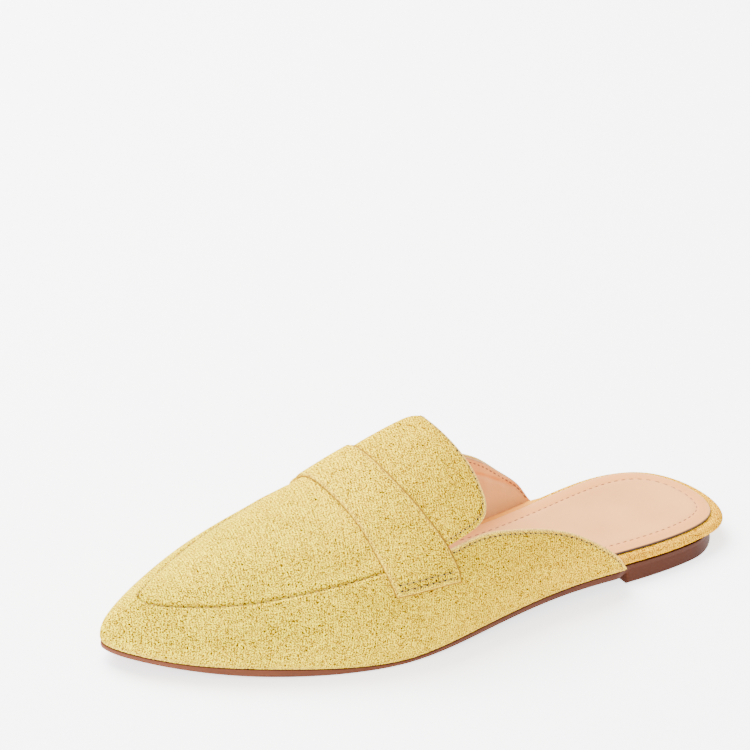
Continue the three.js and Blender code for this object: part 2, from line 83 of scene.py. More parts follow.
# along, height and sideways shift of the top line
RIDGE = (
    (0.05, 0.368, 0.1), (0.12, 0.464, 0.21), (0.2, 0.577, 0.23), (0.3, 0.697, -0.08),
    (0.4, 0.9, -0.51), (0.5, 1.03, -0.73), (0.6, 0.99, -0.79), (0.78, 0.93, -0.8),
)
# along, shoulder fullness, outer and inner bulge of the walls
SECTION = (
    (0.0, -0.43, 0.37, 0.25), (0.08, -0.35, 0.85, 0.6), (0.3, 0.29, 1.0, 1.0), (0.42, -0.05, 1.0, 1.7),
    (0.53, -0.37, 1.0, 2.5), (0.62, -0.57, 1.0, 2.1), (0.752, -0.57, 1.0, 1.0),
)
# along, height of the apron seam up the outer and the inner wall
SEAM = (
    (0.0, 0.955, 0.955), (0.004, 0.91, 0.92), (0.022, 0.735, 0.78), (0.042, 0.664, 0.7),
    (0.066, 0.61, 0.637), (0.105, 0.552, 0.565), (0.156, 0.512, 0.528), (0.208, 0.499, 0.524),
    (0.26, 0.493, 0.534), (0.31, 0.477, 0.541), (0.36, 0.449, 0.541), (0.43, 0.411, 0.47),
)
# along, height of the quarters' top edge on the outer and the inner wall
TOPLINE = (
    (0.383, 0.436, 0.515), (0.425, 0.408, 0.47), (0.483, 0.394, 0.45), (0.55, 0.363, 0.44),
    (0.617, 0.319, 0.388), (0.66, 0.26, 0.312), (0.7, 0.175, 0.205), (0.735, 0.08, 0.1),
    (0.752, 0.02, 0.02),
)
# soft creases: side, place along, rise, half length along, half width up, depth and slant
CREASES = (
    ("OUTER", 0.475, 0.2, 0.05, 0.07, -0.28, 0.9), ("OUTER", 0.56, 0.17, 0.07, 0.08, -0.22, 0.5),
    ("OUTER", 0.3, 0.2, 0.06, 0.06, -0.14, -0.4), ("OUTER", 0.66, 0.12, 0.05, 0.05, 0.18, 0.0),
    ("INNER", 0.46, 0.25, 0.05, 0.07, -0.26, 0.8), ("INNER", 0.55, 0.22, 0.06, 0.07, -0.24, 0.6),
    ("INNER", 0.29, 0.22, 0.05, 0.05, -0.16, -0.5), ("INNER", 0.66, 0.14, 0.05, 0.05, 0.16, 0.0),
)
# across, front and rear edge of the saddle strap
STRAP = (
    (0.31, 0.336, 0.431), (0.47, 0.331, 0.42), (0.7, 0.329, 0.402), (1.0, 0.33, 0.396),
    (1.25, 0.338, 0.404), (1.5, 0.352, 0.43), (1.66, 0.364, 0.447),
)


def curve_through(places: Sequence[float], values: Sequence[float]) -> Curve:
    """Makes a smooth curve with free ends through given values.

    Args:
        places: Where the values stand, rising.
        values: The values there.

    Returns:
        A function of an array of places.
    """
    x, y = np.asarray(places, float), np.asarray(values, float)
    count = len(x)
    system, right = np.eye(count), np.zeros(count)
    for i in range(1, count - 1):
        before, after = x[i] - x[i - 1], x[i + 1] - x[i]
        system[i, i - 1 : i + 2] = before, 2 * (before + after), after
        right[i] = 6 * ((y[i + 1] - y[i]) / after - (y[i] - y[i - 1]) / before)
    bend = np.linalg.solve(system, right)

    def at(place: np.ndarray) -> np.ndarray:
        """Value of the curve at each place.

        Args:
            place: The places.

        Returns:
            The values.
        """
        p = np.clip(place, x[0], x[-1])
        i = np.clip(np.searchsorted(x, p) - 1, 0, count - 2)
        step = x[i + 1] - x[i]
        a, b = (x[i + 1] - p) / step, (p - x[i]) / step
        sag = ((a**3 - a) * bend[i] + (b**3 - b) * bend[i + 1]) * step**2 / 6
        return a * y[i] + b * y[i + 1] + sag

    return at


def lines_through(places: Sequence[float], values: Sequence[float]) -> Curve:
    """Makes a function of straight lines through given values."""
    return lambda place: np.interp(place, places, values)


def turn_at(along: np.ndarray) -> np.ndarray:
    """Turn of a place along the shoe: 0 at the toe tip and pi at the back of the heel."""
    return np.arccos(1 - 2 * np.asarray(along, float))


def along_at(turn: np.ndarray) -> np.ndarray:
    """Place along the shoe of a turn, from 0 at the toe to 1 at the heel."""
    return (1 - np.cos(turn)) / 2


def smooth_step(value: np.ndarray, low: float, high: float) -> np.ndarray:
    """Smooth rise from 0 at low to 1 at high."""
    t = np.clip((np.asarray(value, float) - low) / (high - low), 0, 1)
    return t * t * (3 - 2 * t)


def mix(a: np.ndarray, b: np.ndarray, share: np.ndarray) -> np.ndarray:
    """Value a share of the way from a to b."""
    return a + (b - a) * share


def bell(distance: np.ndarray, width: float) -> np.ndarray:
    """Soft hump of height 1 at distance 0."""
    return np.exp(-((distance / width) ** 2))


def swells(distance: np.ndarray, forms: Sequence[tuple[float, float, float]]) -> np.ndarray:
    """Sum of soft humps and grooves, each with its height, place and half width."""
    return sum(height * bell(distance - place, width) for height, place, width in forms)


@dataclass
class Last:
    """The foot form that every piece lies on, in millimetres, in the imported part's frame.

    Attributes:
        length: Length of the sole.
        ball_width: Width at the ball, the unit of OUTLINE.
        instep_height: Unit of RIDGE's heights.
        ridge_shift: Unit of its sideways shifts.
        toe_spring: Unit of SOLE's toe spring.
        toe_dome: How far the top line is drawn back over the toe.
        toe_dome_end: Where that ends along the shoe.
        side_bulge: Unit of SECTION's bulges.
        bulge_end: Rise at which they end.
        fullness: Unit of its shoulders, as a share of the width and height.
        sole_thickness: Unit of SOLE's thickness.
        arch_rise: Unit of its arch.
        gap: Gap between pieces that meet.
        throat: Where the foot opening starts along the shoe.
        quarter_end: Where the quarters run out.
        middle: Place of the bounding box's middle on the drawing.
    """

    length: float = 262.0
    ball_width: float = 77.0
    instep_height: float = 60.0
    ridge_shift: float = 12.0
    toe_spring: float = 5.1
    toe_dome: float = 13.0
    toe_dome_end: float = 0.35
    side_bulge: float = 3.5
    bulge_end: float = 0.55
    fullness: float = 0.07
    sole_thickness: float = 2.2
    arch_rise: float = 3.7
    gap: float = 0.3
    throat: float = 0.383
    quarter_end: float = 0.752
    middle: tuple[float, float] = (4.808, -0.989)

    def __post_init__(self) -> None:
        """Fits the curves to the tables."""
        outline, sole, ridge = np.array(OUTLINE), np.array(SOLE), np.array(RIDGE)
        section, seam, top = np.array(SECTION), np.array(SEAM), np.array(TOPLINE)

        def sides(fit: Callable, places: np.ndarray, table: np.ndarray, first: int = 1) -> dict[Side, Curve]:
            """Fits one curve to each side's column, the outer side's first."""
            return {side: fit(places, table[:, first + k]) for k, side in enumerate(Side)}

        self.half_share = sides(curve_through, turn_at(outline[:, 0]), outline)
        self.spring, self.arch, self.thickness = (curve_through(sole[:, 0], sole[:, k]) for k in (1, 2, 3))
        self.ridge_height = curve_through(ridge[:, 0], ridge[:, 1])
        self.ridge_side = curve_through(ridge[:, 0], ridge[:, 2])
        self.shoulder = lines_through(section[:, 0], section[:, 1])
        self.bulge = sides(lines_through, section[:, 0], section, 2)
        self.seam = sides(lines_through, turn_at(seam[:, 0]), seam)
        self.topline = sides(curve_through, top[:, 0], top)

    def sole_bottom(self, along: np.ndarray) -> np.ndarray:
        """Height of the sole's underside."""
        height = self.spring(along) * self.toe_spring + self.arch(along) * self.arch_rise
        return np.where(height < 0.02, 0.0, height)

    def sole_top(self, along: np.ndarray) -> np.ndarray:
        """Height of the sole's upper face."""
        return self.sole_bottom(along) + self.thickness(along) * self.sole_thickness

    def feather(self, along: np.ndarray) -> np.ndarray:
        """Height of the edge where the upper meets the sole."""
        return self.sole_top(along) + self.gap

    def outline(self, side: Side, turn: np.ndarray, inset: np.ndarray | float = 0.0) -> tuple:
        """Point of the bottom outline, moved inwards.

        Args:
            side: Side of the foot.
            turn: Turns along the shoe.
            inset: How far inwards.

        Returns:
            x, y, and the outward direction's x and y.
        """
        sign, step = side.value, 1e-3
        turn = np.asarray(turn, float)

        def half(at: np.ndarray) -> np.ndarray:
            """Signed half width."""
            return sign * self.half_share[side](np.clip(at, 0, np.pi)) * self.ball_width

        low, high = np.maximum(turn - step, 0), np.minimum(turn + step, np.pi)
        run_x = (half(high) - half(low)) / (high - low)
        at_end = (turn < step) | (turn > np.pi - step)
        run_y = np.where(at_end, 0.0, np.sin(turn) * self.length / 2)
        run = np.hypot(run_x, run_y)
        out_x, out_y = sign * run_y / run, -sign * run_x / run
        x = half(turn) - inset * out_x
        y = (along_at(turn) - 0.5) * self.length - inset * out_y
        return x - self.middle[0], y - self.middle[1], out_x, out_y

    def along_of(self, y: np.ndarray) -> np.ndarray:
        """Place along the shoe of a y coordinate."""
        return np.clip((y + self.middle[1]) / self.length + 0.5, 0, 1)

    def _on_side(self, side: Side, turn: np.ndarray, rise: np.ndarray) -> np.ndarray:
        """Point of one side's surface, from rise 0 at the sole to 1 at the top line.

        Args:
            side: Side of the foot.
            turn: Turns.
            rise: Rises.

        Returns:
            The points.
        """
        along = along_at(turn)
        x, y, out_x, out_y = self.outline(side, turn)
        domed = np.maximum(1 - along / self.toe_dome_end, 0)
        top_along = along + self.toe_dome / self.length * domed * domed
        top_x = self.ridge_side(top_along) * self.ridge_shift - self.middle[0]
        top_y = (top_along - 0.5) * self.length - self.middle[1]
        top_z = self.ridge_height(top_along) * self.instep_height
        angle = rise * np.pi / 2
        full = self.shoulder(along) * self.fullness * np.sin(2 * angle) ** 2
        out, up = np.cos(angle) + full, np.sin(angle) + full
        swell = np.sin(np.pi * np.minimum(rise / self.bulge_end, 1))
        bulge = self.bulge[side](along) * self.side_bulge * swell
        return np.stack([
            mix(top_x, x, out) + bulge * out_x,
            mix(top_y, y, out) + bulge * out_y,
            mix(self.feather(along), top_z, up),
        ], axis=-1)

    def point(self, turn: np.ndarray, across: np.ndarray) -> np.ndarray:
        """Point of the last: across is 0 at the outer edge, 1 on top and 2 at the inner edge.

        Args:
            turn: Turns; one below 0 is taken on the other side of the toe.
            across: Places across.

        Returns:
            The points.
        """
        turn, across = np.broadcast_arrays(np.asarray(turn, float), np.asarray(across, float))
        place = np.where(turn < 0, 2 - across, across)
        at = np.abs(turn)
        rise = np.clip(np.where(place <= 1, place, 2 - place), 0, None)
        outer, inner = self._on_side(Side.OUTER, at, rise), self._on_side(Side.INNER, at, rise)
        return np.where((place <= 1)[..., None], outer, inner)

    def normal(self, turn: np.ndarray, across: np.ndarray) -> np.ndarray:
        """Outward direction of the last.

        Args:
            turn: Turns.
            across: Places across.

        Returns:
            Unit vectors.
        """
        turn, across = np.broadcast_arrays(np.asarray(turn, float), np.asarray(across, float))
        step = 0.01
        at = np.where((np.abs(turn) < 0.05) & (np.abs(across - 1) < 0.05), 0.05, turn)
        run = self.point(at + step, across) - self.point(at - step, across)
        low, high = np.maximum(across - step, 0), np.minimum(across + step, 2)
        out = np.cross(run, self.point(at, high) - self.point(at, low))
        return out / np.linalg.norm(out, axis=-1, keepdims=True)

    def shell(self, turn: np.ndarray, across: np.ndarray, lift: np.ndarray | float) -> np.ndarray:
        """Point at a height over the last, below it where the lift is negative."""
        return self.point(turn, across) + self.normal(turn, across) * np.asarray(lift)[..., None]

    def rib(self, side: Side, turn: np.ndarray) -> np.ndarray:
        """Length of the surface from the sole to the top line.

        Args:
            side: Side of the foot.
            turn: Turns.

        Returns:
            One length for each turn.
        """
        rises = np.linspace(0, 1, 13)[:, None]
        points = self._on_side(side, np.asarray(turn, float)[None, :], rises)
        return np.linalg.norm(np.diff(points, axis=0), axis=-1).sum(axis=0)

    def wall_top(self, side: Side, turn: np.ndarray) -> np.ndarray:
        """Top of the wall: the apron seam in front of the throat, the top edge behind it.

        Args:
            side: Side of the foot.
            turn: Turns.

        Returns:
            One rise for each turn.
        """
        along = along_at(turn)
        edge = np.maximum(self.topline[side](along), 0.02)
        return np.where(along < self.throat - 1e-9, self.seam[side](turn), edge)


def place_on(side: Side, rise: np.ndarray) -> np.ndarray:
    """Place across the last of a rise on one side."""
    return rise if side is Side.OUTER else 2 - rise


def stations(stops: Sequence[float], counts: Sequence[int]) -> np.ndarray:
    """Turns between given places along the shoe, with a number of steps in each stretch.

    Args:
        stops: Places from 0 to 1.
        counts: Steps between each two.

    Returns:
        The turns.
    """
    turns = [turn_at(stops[:1])]
    for k, count in enumerate(counts):
        turns.append(np.linspace(turn_at(stops[k]), turn_at(stops[k + 1]), count + 1)[1:])
    return np.concatenate(turns)


def eased(count: int, power: float = 1.0) -> np.ndarray:
    """Shares from 0 to 1 that stand close together at both ends."""
    t = np.linspace(0, 1, count)
    return mix(t, 0.5 - 0.5 * np.cos(np.pi * t), power)


# ---- Modelling steps ----


def select(*pieces: bpy.types.Object) -> None:
    """Leaves edit mode and selects only the given pieces, the first one active, or nothing."""
    if bpy.context.object and bpy.context.object.mode != "OBJECT":
        bpy.ops.object.mode_set(mode="OBJECT")
    bpy.ops.object.select_all(action="DESELECT")
    for piece in pieces:
        piece.select_set(True)
    if pieces:
        bpy.context.view_layer.objects.active = pieces[0]


def grid_sheet(points: np.ndarray, turned: bool = False,
               edge: np.ndarray | None = None) -> bpy.types.Object:
    """Adds a grid and lays it on rows and columns of points.

    Args:
        points: Rows x columns x 3, in millimetres.
        turned: Whether its faces look the other way.
        edge: Mark that the finishes read: up to 1 at folds, at cut edges and for painted shade inside the
            shoe, down to -1 for painted shade in seams and painted reflected light beside the insole's
            stitches.

    Returns:
        The new sheet.
    """
    edge = np.zeros(points.shape[:2]) if edge is None else np.broadcast_to(edge, points.shape[:2])
    if not turned:
        points, edge = points[:, ::-1], edge[:, ::-1]
    rows, columns = points.shape[:2]
    select()
    bpy.ops.mesh.primitive_grid_add(x_subdivisions=columns - 1, y_subdivisions=rows - 1, size=1.0)
    sheet = bpy.context.object
    mesh = sheet.data
    for layer in list(mesh.uv_layers):
        mesh.uv_layers.remove(layer)
    mesh.vertices.foreach_set("co", np.ascontiguousarray(points * MM, dtype=np.float32).ravel())
    mark = mesh.attributes.new("edge", "FLOAT", "POINT")
    mark.data.foreach_set("value", np.ascontiguousarray(edge, dtype=np.float32).ravel())
    mesh.update()
    return sheet


def join(name: str, parts: Sequence[bpy.types.Object], merge: float = 0.004) -> bpy.types.Object:
    """Joins parts into one piece.

    Args:
        name: Name of the piece.
        parts: Its parts.
        merge: Distance at which shared points are merged, in millimetres, or 0 for none.

    Returns:
        The piece.
    """
    select(*parts)
    if len(parts) > 1:
        bpy.ops.object.join()
    piece = bpy.context.object
    piece.name = piece.data.name = name
    if merge:
        bpy.ops.object.mode_set(mode="EDIT")
        bpy.ops.mesh.select_all(action="SELECT")
        bpy.ops.mesh.remove_doubles(threshold=merge * MM)
        bpy.ops.object.mode_set(mode="OBJECT")
    return piece


def smooth(piece: bpy.types.Object, angle: float) -> None:
    """Shades a piece smooth up to an angle in degrees."""
    select(piece)
    bpy.ops.object.shade_smooth_by_angle(angle=math.radians(angle))


def apply_modifier(piece: bpy.types.Object, kind: str, **settings: object) -> None:
    """Adds a modifier, sets it and applies it.

    Args:
        piece: The piece.
        kind: Type of the modifier.
        settings: Its properties.
    """
    select(piece)
    modifier = piece.modifiers.new(kind.title(), kind)
    for key, value in settings.items():
        setattr(modifier, key, value)
    bpy.ops.object.modifier_apply(modifier=modifier.name)


def hand_over(piece: bpy.types.Object, slot: Slot, finish: bpy.types.Material, *nodes: str) -> None:
    """Dresses a finished piece, sets it on the body and reports it.

    Args:
        piece: The piece.
        slot: Its slot in the record; not used.
        finish: Its material.
        nodes: Solids that it stands for.
    """
    piece.data.materials.clear()
    piece.data.materials.append(finish)
    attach(piece, "root")
    if nodes:
        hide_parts(*nodes)
    log.info("%s: %d faces, %s", piece.name, len(piece.data.polygons), finish.name)


def pillow(name: str, middle: np.ndarray, normal: np.ndarray, low: float, high: float | np.ndarray,
           relief: np.ndarray | float = 0.0, pale: float = 1.0) -> bpy.types.Object:
    """Makes a flat strip of material with round edges.

    Args:
        name: Name of the piece.
        middle: Rows x columns of points on the last.
        normal: Their outward directions.
        low: Lift of the underside.
        high: Lift of the face.
        relief: Extra lift of the face.
        pale: How much paler its folded edge is.

    Returns:
        The closed strip.
    """
    radius = (high - low) / 2
    rows = np.linalg.norm(np.diff(middle, axis=0), axis=-1)
    columns = np.linalg.norm(np.diff(middle, axis=1), axis=-1)
    down = np.vstack([np.zeros((1, middle.shape[1])), np.cumsum(rows, axis=0)])
    over = np.hstack([np.zeros((middle.shape[0], 1)), np.cumsum(columns, axis=1)])
    far = np.minimum(np.minimum(down, down[-1:] - down), np.minimum(over, over[:, -1:] - over))
    inside = np.clip(radius - far, 0, radius)
    drop = radius - np.sqrt(np.maximum(radius**2 - inside**2, 0))
    edge = pale * bell(far, 1.1)
    flat = 1 - drop / radius
    top = middle + normal * (high - drop + relief * flat)[..., None]
    under = middle + normal * (low + drop)[..., None]
    return join(name, [grid_sheet(top, edge=edge), grid_sheet(under, True, edge)])


def sweep(name: str, loops: np.ndarray, edge: np.ndarray | None = None) -> bpy.types.Object:
    """Closes a row of cross-section loops into one solid.

    Args:
        name: Name of the piece.
        loops: Rows of closed loops of points; an end loop that is open gets a flat cap.
        edge: Mark of each point, as for a sheet, for one loop or for every loop.

    Returns:
        The solid.
    """
    rows = [loops]
    for k, order in ((0, 0), (-1, 1)):
        if np.ptp(loops[k][:, 0]) > 0.01:
            cap = np.repeat(loops[k].mean(axis=0, keepdims=True), loops.shape[1], axis=0)[None]
            rows.insert(order * len(rows), cap)
    points = np.concatenate(rows)
    points = np.concatenate([points, points[:, :1]], axis=1)
    if edge is not None and edge.ndim == 1:
        edge = np.append(edge, edge[:1])[None, :]
    elif edge is not None:
        caps_before = int(rows[0] is not loops)
        edge = edge[np.clip(np.arange(len(points)) - caps_before, 0, len(edge) - 1)]
    return join(name, [grid_sheet(points, edge=edge)])


# ---- Stitching ----


@dataclass
class StitchRow:
    """A run of stitches along a line on a surface.

    Attributes:
        points: The line, in millimetres.
        normals: Outward directions along it.
        pitch: Distance from stitch to stitch.
        lift: Height of the thread over the line.
    """

    points: np.ndarray
    normals: np.ndarray
    pitch: float
    lift: float = 0.0

    def moved_in(self, distance: float) -> "StitchRow":
        """The same row moved sideways over the surface, to the left of its run.

        Args:
            distance: How far.

        Returns:
            The moved row.
        """
        run = np.gradient(self.points, axis=0)
        side = np.cross(self.normals, run)
        side /= np.linalg.norm(side, axis=-1, keepdims=True)
        return StitchRow(self.points + side * distance, self.normals, self.pitch, self.lift)

    def places(self, start: float = 0.5) -> tuple[np.ndarray, np.ndarray, np.ndarray]:
        """Where the stitches stand.

        Args:
            start: Where the first one stands, in pitches.

        Returns:
            Points, run directions and outward directions.
        """
        steps = np.linalg.norm(np.diff(self.points, axis=0), axis=-1)
        run = np.concatenate([[0.0], np.cumsum(steps)])
        count = max(int(run[-1] / self.pitch), 2)
        pitch = run[-1] / count
        at = (np.arange(count) + start) * pitch
        at = at[at <= run[-1] + 1e-9]

        def along(values: np.ndarray, where: np.ndarray) -> np.ndarray:
            """Values of the line at given lengths along it."""
            return np.stack([np.interp(where, run, values[:, k]) for k in range(3)], axis=-1)

        reach = 0.3
        low, high = np.maximum(at - reach, 0), np.minimum(at + reach, run[-1])
        ahead = along(self.points, high) - along(self.points, low)
        out = along(self.normals, at)
        spots = along(self.points, at) + out / np.linalg.norm(out, axis=-1, keepdims=True) * self.lift
        return spots, ahead, out


def row_on(last: Last, turns: np.ndarray, place: np.ndarray, height: float | np.ndarray, pitch: float,
           lift: float = 0.0, inside: bool = False) -> StitchRow:
    """Makes a row of stitches on the last.

    Args:
        last: The form.
        turns: Turns along the row.
        place: Places across.
        height: Height over the last, one for all or one for each point.
        pitch: Distance from stitch to stitch.
        lift: Height of the thread over that.
        inside: Whether the stitches face inwards.

    Returns:
        The row.
    """
    out = last.normal(turns, place)
    return StitchRow(last.shell(turns, place, height), -out if inside else out, pitch, lift)


@dataclass
class Thread:
    """One stitch and one needle hole, modelled once and copied along the rows.

    Attributes:
        length: Length of the stitch that shows.
        radius: Half the thickness of the thread.
        hole: Half the width of a needle hole.
    """

    length: float = 1.5
    radius: float = 0.2
    hole: float = 0.36

    def stitch(self) -> bpy.types.Object:
        """A short round thread that dips at both ends.

        Returns:
            The model of a stitch.
        """
        select()
        bpy.ops.mesh.primitive_cylinder_add(
            vertices=7, radius=self.radius * MM, depth=self.length * 0.55 * MM, rotation=(0, math.pi / 2, 0))
        bpy.ops.object.transform_apply(location=False, rotation=True, scale=False)
        thread = bpy.context.object
        for sign in (-1, 1):
            bpy.ops.object.mode_set(mode="EDIT")
            bpy.ops.mesh.select_all(action="DESELECT")
            bpy.ops.object.mode_set(mode="OBJECT")
            for face in thread.data.polygons:
                face.select = face.normal.x * sign > 0.9
            bpy.ops.object.mode_set(mode="EDIT")
            bpy.ops.mesh.extrude_region_move(TRANSFORM_OT_translate={
                "value": (sign * self.length * 0.22 * MM, 0, -self.radius * 0.7 * MM)})
            bpy.ops.transform.resize(value=(1, 0.6, 0.5))
            bpy.ops.object.mode_set(mode="OBJECT")
        return thread

    def needle_hole(self) -> bpy.types.Object:
        """A shallow round pit, a little longer along the row.

        Returns:
            The model of a hole.
        """
        select()
        bpy.ops.mesh.primitive_uv_sphere_add(segments=8, ring_count=5, radius=self.hole * MM)
        pit = bpy.context.object
        bpy.ops.transform.resize(value=(1.35, 0.85, 0.32))
        bpy.ops.object.transform_apply(location=False, rotation=False, scale=True)
        return pit

    def sew(self, name: str, rows: Sequence[StitchRow], start: float, hole: bool) -> bpy.types.Object:
        """Copies the stitch, or the hole, along all rows and joins the copies.

        Args:
            name: Name of the piece.
            rows: The rows.
            start: Where the first copy stands, in pitches.
            hole: Whether needle holes are laid, not stitches.

        Returns:
            The joined piece.
        """
        model = self.needle_hole() if hole else self.stitch()
        copies = []
        for row in rows:
            for spot, run, out in zip(*row.places(start)):
                x, z = Vector(run).normalized(), Vector(out).normalized()
                y = z.cross(x).normalized()
                copy = bpy.data.objects.new(name, model.data.copy())
                copy.matrix_world = Matrix((x, y, x.cross(y))).transposed().to_4x4()
                copy.matrix_world.translation = Vector(spot) * MM
                bpy.context.scene.collection.objects.link(copy)
                copies.append(copy)
        bpy.data.objects.remove(model)
        bpy.context.view_layer.update()
        piece = join(name, copies, merge=0)
        bpy.ops.object.transform_apply(location=True, rotation=True, scale=True)
        smooth(piece, 60)
        return piece


# ---- Finishes ----


def colour(hex_value: str) -> tuple[float, float, float, float]:
    """Turns an sRGB hex value into a linear colour.

    Args:
        hex_value: Such as #f0bc00.

    Returns:
        Red, green, blue and alpha.
    """
    parts = [int(hex_value[k : k + 2], 16) / 255 for k in (1, 3, 5)]
    line = [c / 12.92 if c <= 0.04045 else ((c + 0.055) / 1.055) ** 2.4 for c in parts]
    return (*line, 1.0)


def set_node(node: bpy.types.Node, values: dict | None = None, links: dict | None = None) -> None:
    """Sets a node's values and feeds its inputs.

    Args:
        node: The node.
        values: Properties by name, input values or hex colours by socket, or the stops of a ramp.
        links: Sockets that feed its inputs, by socket name or number.
    """
    for key, value in (values or {}).items():
        if key == "stops":
            elements = node.color_ramp.elements
            while len(elements) < len(value):
                elements.new(0.5)
            for element, (spot, hex_value) in zip(elements, value):
                element.position, element.color = spot, colour(hex_value)
        elif isinstance(key, str) and hasattr(node, key) and key not in node.inputs:
            setattr(node, key, value)
        else:
            node.inputs[key].default_value = colour(value) if isinstance(value, str) else value
    for key, socket in (links or {}).items():
        node.id_data.links.new(socket, node.inputs[key])


def add_node(tree: bpy.types.NodeTree, kind: str, values: dict | None = None, links: dict | None = None,
             output: str | int = 0) -> bpy.types.NodeSocket:
    """Adds a node.

    Args:
        tree: The material's node tree.
        kind: Type of the node, without "ShaderNode".
        values: What set_node sets.
        links: What set_node links.
        output: Name or number of the output that is used.

    Returns:
        That output.
    """
    node = tree.nodes.new("ShaderNode" + kind)
    set_node(node, values, links)
    return node.outputs[output]


def new_material(name: str) -> tuple[bpy.types.Material, bpy.types.Node, Callable, bpy.types.NodeSocket]:
    """Makes a plain material.

    Args:
        name: Its name.

    Returns:
        The material, its shader, what adds a node to it, and the piece's own coordinates.
    """
    made = bpy.data.materials.new(name)
    made.use_nodes = True
    shader = next(n for n in made.node_tree.nodes if n.type == "BSDF_PRINCIPLED")
    add = partial(add_node, made.node_tree)
    return made, shader, add, add("TexCoord", output="Object")


MULTIPLY = {"data_type": "RGBA", "blend_type": "MULTIPLY", 0: 1.0}


@dataclass(frozen=True)
class Microsuede:
    """Knitted microsuede with a brushed nap.

    The nap breaks the light into fine light and dark specks, shows the twill below it faintly,
    and glows pale where it is seen along the surface. A real nap is finer than a pixel, so its
    specks are drawn as coarse as they need to show. Towards the heel the colour is painted a little warmer
    and darker, as painted shade.

    Attributes:
        name: Name of the material.
        base: Colour of the nap.
        dark: Colour of its dark specks.
        light: Colour of its light specks.
        fold: Colour where the edge mark is positive: paler along folded edges, and painted shade on the
            footbed inside the shoe.
        seam: Colour of the painted shade deep in a seam.
        speck_mm: Size of a speck.
        fold_share: How much of the fold's colour shows.
        seam_shade_share: How much of the seam's painted shade shows.
        twill: How strongly the twill shows.
        twill_turn: Direction of the twill in degrees.
        shade_run: Where along the shoe the painted shade turns the colour warmer and darker, in metres.
        sheen: Strength of the glow.
    """

    name: str
    base: str
    dark: str
    light: str
    fold: str
    # colour of the painted shade in the apron seam
    seam: str = "#4a3000"
    speck_mm: float = 0.42
    fold_share: float = 0.5
    seam_shade_share: float = 0.5
    twill: float = 0.8
    twill_turn: float = -68.0
    shade_run: tuple[float, float] = (-0.08, 0.04)
    sheen: float = 0.5

    def make(self) -> bpy.types.Material:
        """Builds the material.

        Returns:
            The material.
        """
        made, shader, add, where = new_material(self.name)
        grain = {"Scale": 1 / (self.speck_mm * MM), "Detail": 2.0, "Roughness": 0.8}
        specks = add("TexNoise", grain, {"Vector": where})
        stops = ((0.445, self.dark), (0.495, self.base), (0.52, self.base), (0.55, self.light))
        fine = add("ValToRGB", {"stops": stops}, {"Fac": specks})
        cloud = add("TexNoise", {"Scale": 75.0, "Detail": 3.0}, {"Vector": where})
        patch = add("ValToRGB", {"stops": ((0.3, "#f0f0f0"), (0.7, "#ffffff"))}, {"Fac": cloud})
        mottled = add("Mix", MULTIPLY, {6: fine, 7: patch}, 2)
        slant = add("Mapping", {"Rotation": (0.0, 0.0, math.radians(self.twill_turn))}, {"Vector": where})
        wave = {"Scale": 330.0, "Distortion": 0.5, "Detail": 1.0, "Detail Scale": 3.0}
        lines = add("TexWave", wave, {"Vector": slant}, "Fac")
        shade = add("ValToRGB", {"stops": ((0.0, "#d2c8a8"), (0.6, "#ffffff"))}, {"Fac": lines})
        woven = add("Mix", MULTIPLY | {0: self.twill}, {6: mottled, 7: shade}, 2)
        # painted shade: the colour turns warmer and darker towards the heel
        split = add("SeparateXYZ", links={0: where}, output="Y")
        run = add("MapRange", dict(zip(("From Min", "From Max"), self.shade_run)), {"Value": split})
        shade_tint = add("ValToRGB", {"stops": ((0.0, "#ffffff"), (1.0, "#ffeed0"))}, {"Fac": run})
        shaded = add("Mix", MULTIPLY, {6: woven, 7: shade_tint}, 2)
        near = add("Attribute", {"attribute_name": "edge"}, output="Fac")
        paling = add("Math", {"operation": "MULTIPLY", 1: self.fold_share}, {0: near})
        folded = add("Mix", {"data_type": "RGBA", 7: self.fold}, {0: paling, 6: shaded}, 2)
        # painted shade: darker colour deep in the apron seam, where the edge mark is negative
        deep = add("Math", {"operation": "MULTIPLY", 1: -self.seam_shade_share, "use_clamp": True}, {0: near})
        sewn = add("Mix", {"data_type": "RGBA", 7: self.seam}, {0: deep, 6: folded}, 2)
        relief = add("Bump", {"Strength": 0.55, "Distance": 0.22 * MM}, {"Height": specks})
        even = {"Roughness": 0.95, "Specular IOR Level": 0.0, "Sheen Weight": self.sheen,
                "Sheen Roughness": 0.09, "Sheen Tint": "#ffd7a6"}
        set_node(shader, even, {"Base Color": sewn, "Normal": relief})
        return made


